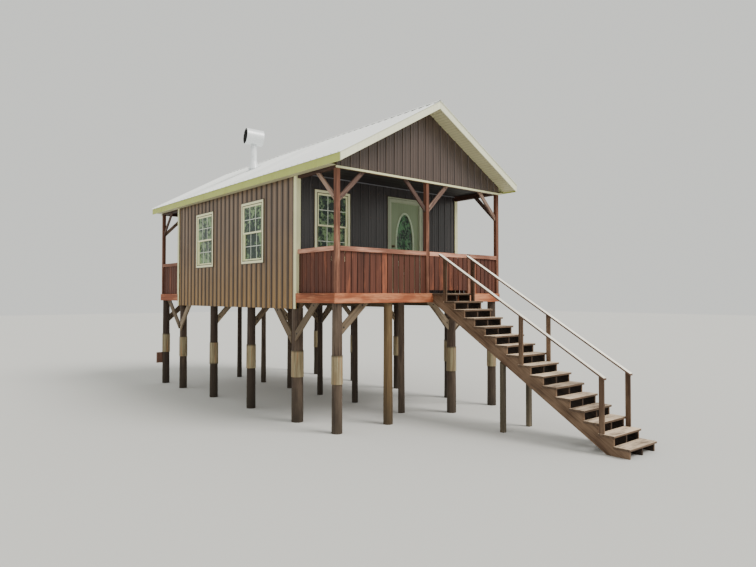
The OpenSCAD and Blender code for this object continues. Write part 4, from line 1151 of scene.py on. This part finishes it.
# %% [markdown]
# Two pale channels edge the ceiling of each porch: one behind the beam and one
# along the wall. In the photo they show as thin light lines in the dark corner
# under the roof. The ceiling solids say where they run.

# %% Ceiling channels
def channels(low, high, width=0.022, drop=0.020):
    """Two strips along the long edges of a porch ceiling."""
    wall_side = high.y if high.y < house_middle else low.y
    inward = -1 if wall_side == high.y else 1
    strips = []
    for edge, out in ((wall_side + inward * siding_out, inward), (low.y + high.y - wall_side, -inward)):
        a, b = low.copy(), high.copy()
        a.y, b.y = sorted((edge, edge + out * width))
        a.z, b.z = low.z - drop, low.z + sunk
        strips.append((a, b))
    return strips


ceiling_low, ceiling_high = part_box("ceilings")
front_ceiling = ceiling_low, Vector((ceiling_high.x, cabin_front, ceiling_high.z))
back_ceiling = Vector((ceiling_low.x, cabin_back, ceiling_low.z)), ceiling_high
strips = channels(*front_ceiling) + channels(*back_ceiling)
channel_grey = painted("grey_ceiling_channel", (0.21, 0.21, 0.23), (0.12, 0.12, 0.13))
bars("ceiling_channels", strips, channel_grey, "corner_trims")

# %% [markdown]
# Wall and roof sheets have tall ribs, which are part of the frame, and two low
# ribs in every bay between them, which are not. Screws with washers hold the
# sheets beside the tall ribs, in rows. A few functions find the ribs and the
# flat of a sheet from its corners, and leave out what an opening covers.

# %% Find the ribs of a sheet
def rib_lines(corners, axis, out):
    """The middle of every rib along an axis. out tells how far a corner stands out."""
    crest = max(out(corner) for corner in corners)
    edges = sorted({round(corner[axis], 4) for corner in corners if out(corner) > crest - 2e-4})
    lines, start = [], edges[0]
    for here, following in zip(edges, edges[1:] + [math.inf]):
        if following - here > 0.05:
            lines.append((start + here) / 2)
            start = following
    return lines


def flat_level(corners, out):
    """How far the flat of a sheet stands out: the level next to its back."""
    return sorted({round(out(corner), 4) for corner in corners})[1]


def clear_spans(foot, head, at, holes):
    """The parts of an upright line that no hole covers. A hole is left, right, foot, head."""
    spans = [(foot, head)]
    for left, right, hole_foot, hole_head in holes:
        if left < at < right:
            below = [(a, min(b, hole_foot)) for a, b in spans]
            above = [(max(a, hole_head), b) for a, b in spans]
            spans = below + above
    return [(a, b) for a, b in spans if b - a > 0.03]


def clumps(node, gap=0.01):
    """Boxes round the solids of a node that stand together."""
    found = []
    for low, high in boxes_of(node):
        for other in [box for box in found if apart(box, (low, high)) < gap]:
            found.remove(other)
            low, high = box_of([low, high, *other])
        found.append((low, high))
    return found


def apart(one, other):
    """The gap between two boxes along the axis on which they are furthest apart."""
    return max(max(one[0][axis] - other[1][axis], other[0][axis] - one[1][axis]) for axis in range(3))


windows = clumps("window_frames")
openings = windows + [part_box("front_door_frame"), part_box("back_door")]
print("openings:", len(openings))

# %% [markdown]
# Where a wall sheet ends at a window or a door, its edge is tucked into a brown
# channel that runs round the casing; its dark brown also paints the shade that
# the casing casts on the wall. A second, dark line is the bed of sealant between
# a window's casing and its frame, and on a door the groove in its casing; its
# near black also paints the shade in that gap. All are plain bars, and they give
# the windows and doors the fine outlines that they have in the photo.

# %% Channels and sealant round the openings
def frame_bars(low, high, thin, depth, wide, foot):
    """Four bars along the inside of a box's outline, or three without the foot.

    depth is where the bars start and end on the thin axis.
    """
    across = 1 - thin
    left, right = low[across], high[across]
    sides = [(left, left + wide, low.z, high.z), (right - wide, right, low.z, high.z)]
    sides.append((left, right, high.z - wide, high.z))
    if foot:
        sides.append((left, right, low.z, low.z + wide))
    boxes = []
    for start, end, bottom, top in sides:
        a, b = Vector((0.0, 0.0, bottom)), Vector((0.0, 0.0, top))
        a[across], b[across] = start, end
        a[thin], b[thin] = sorted(depth)
        boxes.append((a, b))
    return boxes


def outer_face(low, high):
    """The thin axis of an opening's box, its outward side and how far out its casing stands."""
    thin = 0 if (high - low).x < (high - low).y else 1
    middle = (0.0, house_middle)[thin]
    side = 1 if (low + high)[thin] / 2 > middle else -1
    return thin, side, high[thin] if side > 0 else low[thin]


def widened(low, high, thin, room):
    """A box made wider by room along its wall, upwards and downwards."""
    more = Vector((room, room, room))
    more[thin] = 0.0
    return low - more, high + more


# The channel's dark brown is also painted shade, cast by the casing on the wall.
channel_brown_and_shade = painted("brown_sheet_channel", (0.075, 0.048, 0.032), (0.040, 0.025, 0.017), rough=0.45)
# The near-black sealant and door groove also paint the shade in those gaps.
sealant_and_shade = painted("dark_sealant", (0.034, 0.032, 0.022), (0.020, 0.018, 0.013), rough=0.8)
channel_w, channel_back = 0.014, 0.003
casing_w, sealant_and_shade_w = 0.055, 0.015
groove_in, groove_w = 0.030, 0.007
line_sunk, line_proud = 0.004, 0.0008
channels_round, sealant_and_shade_lines = [], []
for low, high in openings:
    thin, side, face = outer_face(low, high)
    is_window = (low, high) in windows
    outer_low, outer_high = widened(low, high, thin, channel_w)
    outer_low.z = outer_low.z if is_window else low.z
    wall = (half_w * side, cabin_front if side < 0 else cabin_back)[thin]
    depth = wall, face - side * channel_back
    channels_round += frame_bars(outer_low, outer_high, thin, depth, channel_w, is_window)
    inner_low, inner_high = widened(low, high, thin, -casing_w if is_window else -groove_in)
    depth = face - side * line_sunk, face + side * line_proud
    wide = sealant_and_shade_w if is_window else groove_w
    sealant_and_shade_lines += frame_bars(inner_low, inner_high, thin, depth, wide, is_window)
bars("sheet_channels", channels_round, channel_brown_and_shade, "front_siding")
bars("window_sealant_and_shade", sealant_and_shade_lines, sealant_and_shade, "window_frames")

# %% [markdown]
# The long boards along the eaves are clad with folded trim in three-metre
# lengths. Each joint is covered by a narrow lap that stands out by the
# thickness of the sheet.

# %% Laps of the eave trim
def laps(low, high, length=2.975, wide=0.045, proud=0.0015):
    """Cover strips at the joints of one long board."""
    outer = high.x if high.x > 0 else low.x
    side = 1 if outer > 0 else -1
    found = []
    for i in range(1, int((high.y - low.y) / length) + 1):
        y = low.y + length * i
        near, far = sorted((outer - side * 0.002, outer + side * proud))
        found.append((Vector((near, y - wide, low.z)), Vector((far, y, high.z))))
    return found


eave_laps = []
for low, high in boxes_of("fascias"):
    if high.y - low.y > half_w:
        eave_laps += laps(low, high)
bars("eave_laps", eave_laps, eave_cream_shaded, "fascias")

# %% [markdown]
# A wall sheet is told apart by the axis it runs along, by the axis it faces and
# by its side. The gable's sheets end at a slope, so the height of a line there
# depends on how far from the middle it stands.

# %% Low ribs and screws of the walls
low_rib_shares = (1 / 3, 2 / 3)
screw_beside, screw_rows, screw_step = 0.046, 12, 0.56
first_row, row_room = 0.06, 0.03


def aimed(axis, side):
    """The way along an axis, forwards for side 1 and backwards for side -1."""
    aim = Vector((0.0, 0.0, 0.0))
    aim[axis] = side
    return aim


def wall_lines(corners, axis, side, lean):
    """Low ribs as paths, and screws with their aims, for one wall sheet."""
    facing = 1 - axis
    back = min(side * corner[facing] for corner in corners)

    def out(corner):
        return side * corner[facing] - back

    level = side * (back + flat_level(corners, out))
    ribs = rib_lines(corners, axis, out)
    foot = min(corner.z for corner in corners)
    peak = max(corner.z + lean * abs(corner.x) for corner in corners)
    in_wall = [(low, high) for low, high in openings if low[facing] < side * back < high[facing]]
    holes = [(low[axis], high[axis], low.z, high.z) for low, high in in_wall]

    def spot(at, z):
        place = Vector((at, at, z))
        place[facing] = level
        return place

    paths, screws = [], []
    rows = [foot + first_row + screw_step * i for i in range(screw_rows)]
    for rib in ribs:
        for share in low_rib_shares:
            at = rib + rib_pitch * share
            if at < ribs[-1]:
                spans = clear_spans(foot, peak - lean * abs(at), at, holes)
                paths += [[spot(at, a), spot(at, b)] for a, b in spans]
        at = rib + screw_beside
        for a, b in clear_spans(foot, peak - lean * abs(at), at, holes):
            places = [spot(at, z) for z in rows if a + row_room < z < b - row_room]
            screws += [(place, aimed(facing, side)) for place in places]
    return paths, screws


sheet_finish = {
    "left_siding": side_siding, "right_siding": side_siding, "front_siding": front_siding,
    "back_siding": back_siding, "gable_siding": gable_siding,
}
for node, material in sheet_finish.items():
    axis = 1 if material == side_siding else 0
    lean = slope if node == "gable_siding" else 0.0
    paths, screws = [], []
    for corners in spots(node):
        low, high = box_of(corners)
        middle = (low + high)[1 - axis] / 2 - (0.0 if axis else house_middle)
        more_paths, more_screws = wall_lines(corners, axis, 1 if middle > 0 else -1, lean)
        paths += more_paths
        screws += more_screws
    rods(node + "_low_ribs", paths, material, node, radius=0.0055, sides=6)
    heads(node + "_screws", screws, brown_screws, node, radius=0.005, height=0.005, washer=0.009)

# %% [markdown]
# The roof works the same way, except that its lines run down the slope. How far
# a corner stands out is measured plumb from the plane through the ridge, and
# that is the same for all corners of one level, however far down they are.

# %% Low ribs and screws of the roof
def over_slope(corner):
    """How far a corner stands over the plane through the ridge, measured plumb."""
    return corner.z + slope * abs(corner.x) - ridge_z


def on_roof(x, y, level):
    """A point on a slope, or over it by a level that is measured plumb."""
    return Vector((x, y, ridge_z + level - slope * abs(x)))


def off_roof(side):
    """The way straight out of a slope."""
    return Vector((side * math.sin(pitch), 0.0, math.cos(pitch)))


def near_vent(spot, room):
    """Whether a spot is under the pipe's flashing, or nearer to it than room."""
    return all(vent_low[axis] - room < spot[axis] < vent_high[axis] + room for axis in range(2))


vent_low, vent_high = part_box("vent_pipe")
sheet_corners = [corner for group in spots("roof_sheets") for corner in group]
roof_ribs = rib_lines(sheet_corners, 1, over_slope)
roof_flat = flat_level(sheet_corners, over_slope)
rib_ends = 0.05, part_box("roof_sheets")[1].x - 0.006
roof_screw_rows = [0.30 + screw_step * i for i in range(5)]
roof_screw = {"radius": 0.0055, "height": 0.006, "washer": 0.010}
low_ribs, screws = [], []
for side in (-1, 1):
    for rib in roof_ribs:
        for share in low_rib_shares:
            y = rib + rib_pitch * share
            if y < roof_ribs[-1] and not (side < 0 and vent_low.y < y < vent_high.y):
                low_ribs.append([on_roof(side * x, y, roof_flat) for x in rib_ends])
        for x in roof_screw_rows:
            spot = on_roof(side * x, rib + 0.048, roof_flat)
            if spot.y < roof_ribs[-1] + 0.05 and not near_vent(spot, 0.02):
                screws.append((spot, off_roof(side)))
rods("roof_low_ribs", low_ribs, roof_metal_and_sheen, "roof_sheets", radius=0.006, sides=6)
heads("roof_screws", screws, screw_metal, "roof_sheets", **roof_screw)

cap_edge, cap_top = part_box("ridge_cap")[1].x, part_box("ridge_cap")[1].z
screws = []
for side in (-1, 1):
    for rib in roof_ribs:
        spot = on_roof(side * (cap_edge - 0.035), rib, cap_top - ridge_z)
        screws.append((spot, off_roof(side)))
heads("ridge_screws", screws, screw_metal, "ridge_cap", **roof_screw)

# %% [markdown]
# Boards are held by screws. A screw in a deck board or a tread sits over the
# joist or stringer below it, two to a crossing. Palings are screwed to the
# rail from the porch side.

# %% Screws in decks, treads and palings
up = Vector((0.0, 0.0, 1.0))
thickest_board, thickest_paling, shortest_paling = 0.05, 0.03, 0.5


def board_middles(node):
    """Where the boards of a node that run to the back stand, from left to right."""
    narrow = [(low, high) for low, high in boxes_of(node) if high.x - low.x < thickest_board]
    return sorted((low + high).x / 2 for low, high in narrow)


def crossings(node, lines, inset, room=0.02):
    """Two screws, looking up, on every board of a node over every line."""
    found = []
    for low, high in boxes_of(node):
        for x in lines:
            if low.x + room < x < high.x - room:
                found += [(Vector((x, y, high.z)), up) for y in (low.y + inset, high.y - inset)]
    return found


def paling_screws(node, below_head=0.035):
    """Two screws near the head of every upright board, on its porch side."""
    found = []
    for low, high in boxes_of(node):
        size = high - low
        thin = 0 if size.x < size.y else 1
        if size.z < shortest_paling or size[thin] > thickest_paling:
            continue
        side = 1 if (low + high)[thin] / 2 < (0.0, house_middle)[thin] else -1
        for share in (0.28, 0.72):
            spot = Vector((low.x + size.x * share, low.y + size.y * share, high.z - below_head))
            spot[thin] = high[thin] if side > 0 else low[thin]
            found.append((spot, aimed(thin, side)))
    return found


deck_screws = crossings("porch_decks", board_middles("front_porch_frame"), 0.028)
heads("deck_screws", deck_screws, screw_metal, "porch_decks", radius=0.0045, height=0.001, washer=0.0045)
tread_screws = crossings("treads", board_middles("stringers"), 0.06)
heads("tread_screws", tread_screws, screw_metal, "treads", radius=0.005, height=0.001, washer=0.005)
paling_screw = {"radius": 0.0045, "height": 0.0015, "washer": 0.0045}
for node in railings:
    heads(node + "_screws", paling_screws(node), screw_metal, node, **paling_screw)

# %% [markdown]
# A brace carries more load than screws would hold, so each has one bolt near
# each end, through the thickness of the board, with a nut behind.

# %% Bolts in the braces
def end_bolts(node, inset):
    """Bolts near both ends of every slanted board, heads on one face and nuts on the other."""
    mesh = merged(node)
    found = []
    for group in islands(mesh):
        along, across, thick = board_axes(group)
        middle = sum((vertex.co for vertex in group), Vector()) / len(group)
        reach = max((vertex.co - middle).dot(along) for vertex in group) - inset
        half = max((vertex.co - middle).dot(thick) for vertex in group)
        for end in (-1, 1):
            for face in (-1, 1):
                spot = middle + along * reach * end + thick * half * face
                found.append((spot, thick * face))
    mesh.free()
    return found


bolts = end_bolts("under_braces", 0.15)
heads("brace_bolts", bolts, iron, "gate_pintles", radius=0.011, height=0.009, washer=0.019)
bolts = end_bolts("porch_braces", 0.10)
heads("porch_brace_bolts", bolts, iron, "gate_pintles", radius=0.008, height=0.006, washer=0.013)

# %% [markdown]
# The gate's straps are screwed on through holes. The straps sit on the porch
# side of the gate, so their screws aim at the porch.

# %% Screws in the gate's straps
strap_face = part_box("gate")[1].y + 0.005
past_eye, from_end, strap_count = 0.10, 0.03, 4
screws = []
for low, high in boxes_of("gate_straps"):
    start, end = low.x + past_eye, high.x - from_end
    for i in range(strap_count):
        x = start + (end - start) * i / (strap_count - 1)
        screws.append((Vector((x, strap_face, (low.z + high.z) / 2)), aimed(1, 1)))
heads("strap_screws", screws, iron, "gate_straps", radius=0.007, height=0.004, washer=0.009)

# %% [markdown]
# The vent cap is a rolled barrel. A rolled sheet would be floppy at its open
# ends, so both rims are turned over a wire, and a lapped seam with rivets
# closes it along the top. The barrel leans and is turned, so its axis is worked
# out from the two rings of corners at its ends.

# %% Barrel rims, seam and rivets
barrel = [corner for group in spots("vent_cap") for corner in group]
barrel_middle = sum(barrel, Vector()) / len(barrel)
ends = [[corner for corner in barrel if (corner.x - barrel_middle.x) * side > 0] for side in (-1, 1)]
end_middles = [sum(end, Vector()) / len(end) for end in ends]
axle = (end_middles[1] - end_middles[0]).normalized()
level_way = axle.cross(up).normalized()
steep_way = level_way.cross(axle)
barrel_r = max((corner - end_middles[0]).length for corner in ends[0])
rims = []
for middle, inward in zip(end_middles, (axle, -axle)):
    rims.append(ring(middle + inward * 0.005, level_way * barrel_r, steep_way * barrel_r, 40))
rods("barrel_rims", rims, vent_metal, "vent_cap", radius=0.006)

seam_out = (steep_way * 0.92 - level_way * 0.39).normalized()
seam = [middle + seam_out * (barrel_r - sunk) for middle in end_middles]
rods("barrel_seam", [seam], vent_metal, "vent_cap", radius=0.004)
rivet_count, beside_seam = 8, 0.018
rivets = []
for i in range(rivet_count):
    spot = seam[0].lerp(seam[1], (i + 0.5) / rivet_count) + seam_out.cross(axle) * beside_seam
    rivets.append((spot, seam_out))
heads("barrel_rivets", rivets, vent_metal, "vent_cap", radius=0.004, height=0.003, washer=0.005, sides=8)

pipe_middle = (vent_low + vent_high) / 2
pipe_top = min(corner.z for corner in barrel)
pipe_bead_r = 0.085
beads = []
for below in (0.05, 0.30):
    middle = Vector((pipe_middle.x, pipe_middle.y, pipe_top - below))
    beads.append(ring(middle, Vector((pipe_bead_r, 0, 0)), Vector((0, pipe_bead_r, 0)), 32))
rods("pipe_beads", beads, vent_metal, "vent_pipe", radius=0.004)

# %% [markdown]
# An overcast morning lights the real house: bright all round, with a weak sun
# from the front right that leaves soft shadows under the roof and the floor.
# A pale even sky and one wide sun lamp do the same here.

# %% Light and floor
world = bpy.data.worlds.new("sky")
world.use_nodes = True
world.node_tree.nodes["Background"].inputs["Color"].default_value = (0.97, 0.98, 0.93, 1.0)
world.node_tree.nodes["Background"].inputs["Strength"].default_value = 0.92
bpy.context.scene.world = world

sun_data = bpy.data.lights.new("sun", "SUN")
sun_data.energy = 3.0
sun_data.angle = math.radians(28.0)
sun_data.color = (1.0, 0.965, 0.91)
sun = bpy.data.objects.new("sun", sun_data)
sun.rotation_mode = "QUATERNION"
sun.rotation_quaternion = Vector((-0.30, 0.62, -0.78)).to_track_quat("-Z", "Y")
bpy.context.scene.collection.objects.link(sun)

ground_mesh = bpy.data.meshes.new("pale_floor")
reach = 80.0
corners = [(-reach, -reach, 0), (reach, -reach, 0), (reach, reach, 0), (-reach, reach, 0)]
ground_mesh.from_pydata(corners, [], [(0, 1, 2, 3)])
ground = bpy.data.objects.new("pale_floor", ground_mesh)
bpy.context.scene.collection.objects.link(ground)
ground_finish = Finish("pale_floor", {"Base Color": (0.62, 0.62, 0.60), "Roughness": 0.9})
ground_mesh.materials.append(ground_finish.material)
print("floor reaches", reach, "m, the sun is", math.degrees(sun_data.angle), "degrees wide")
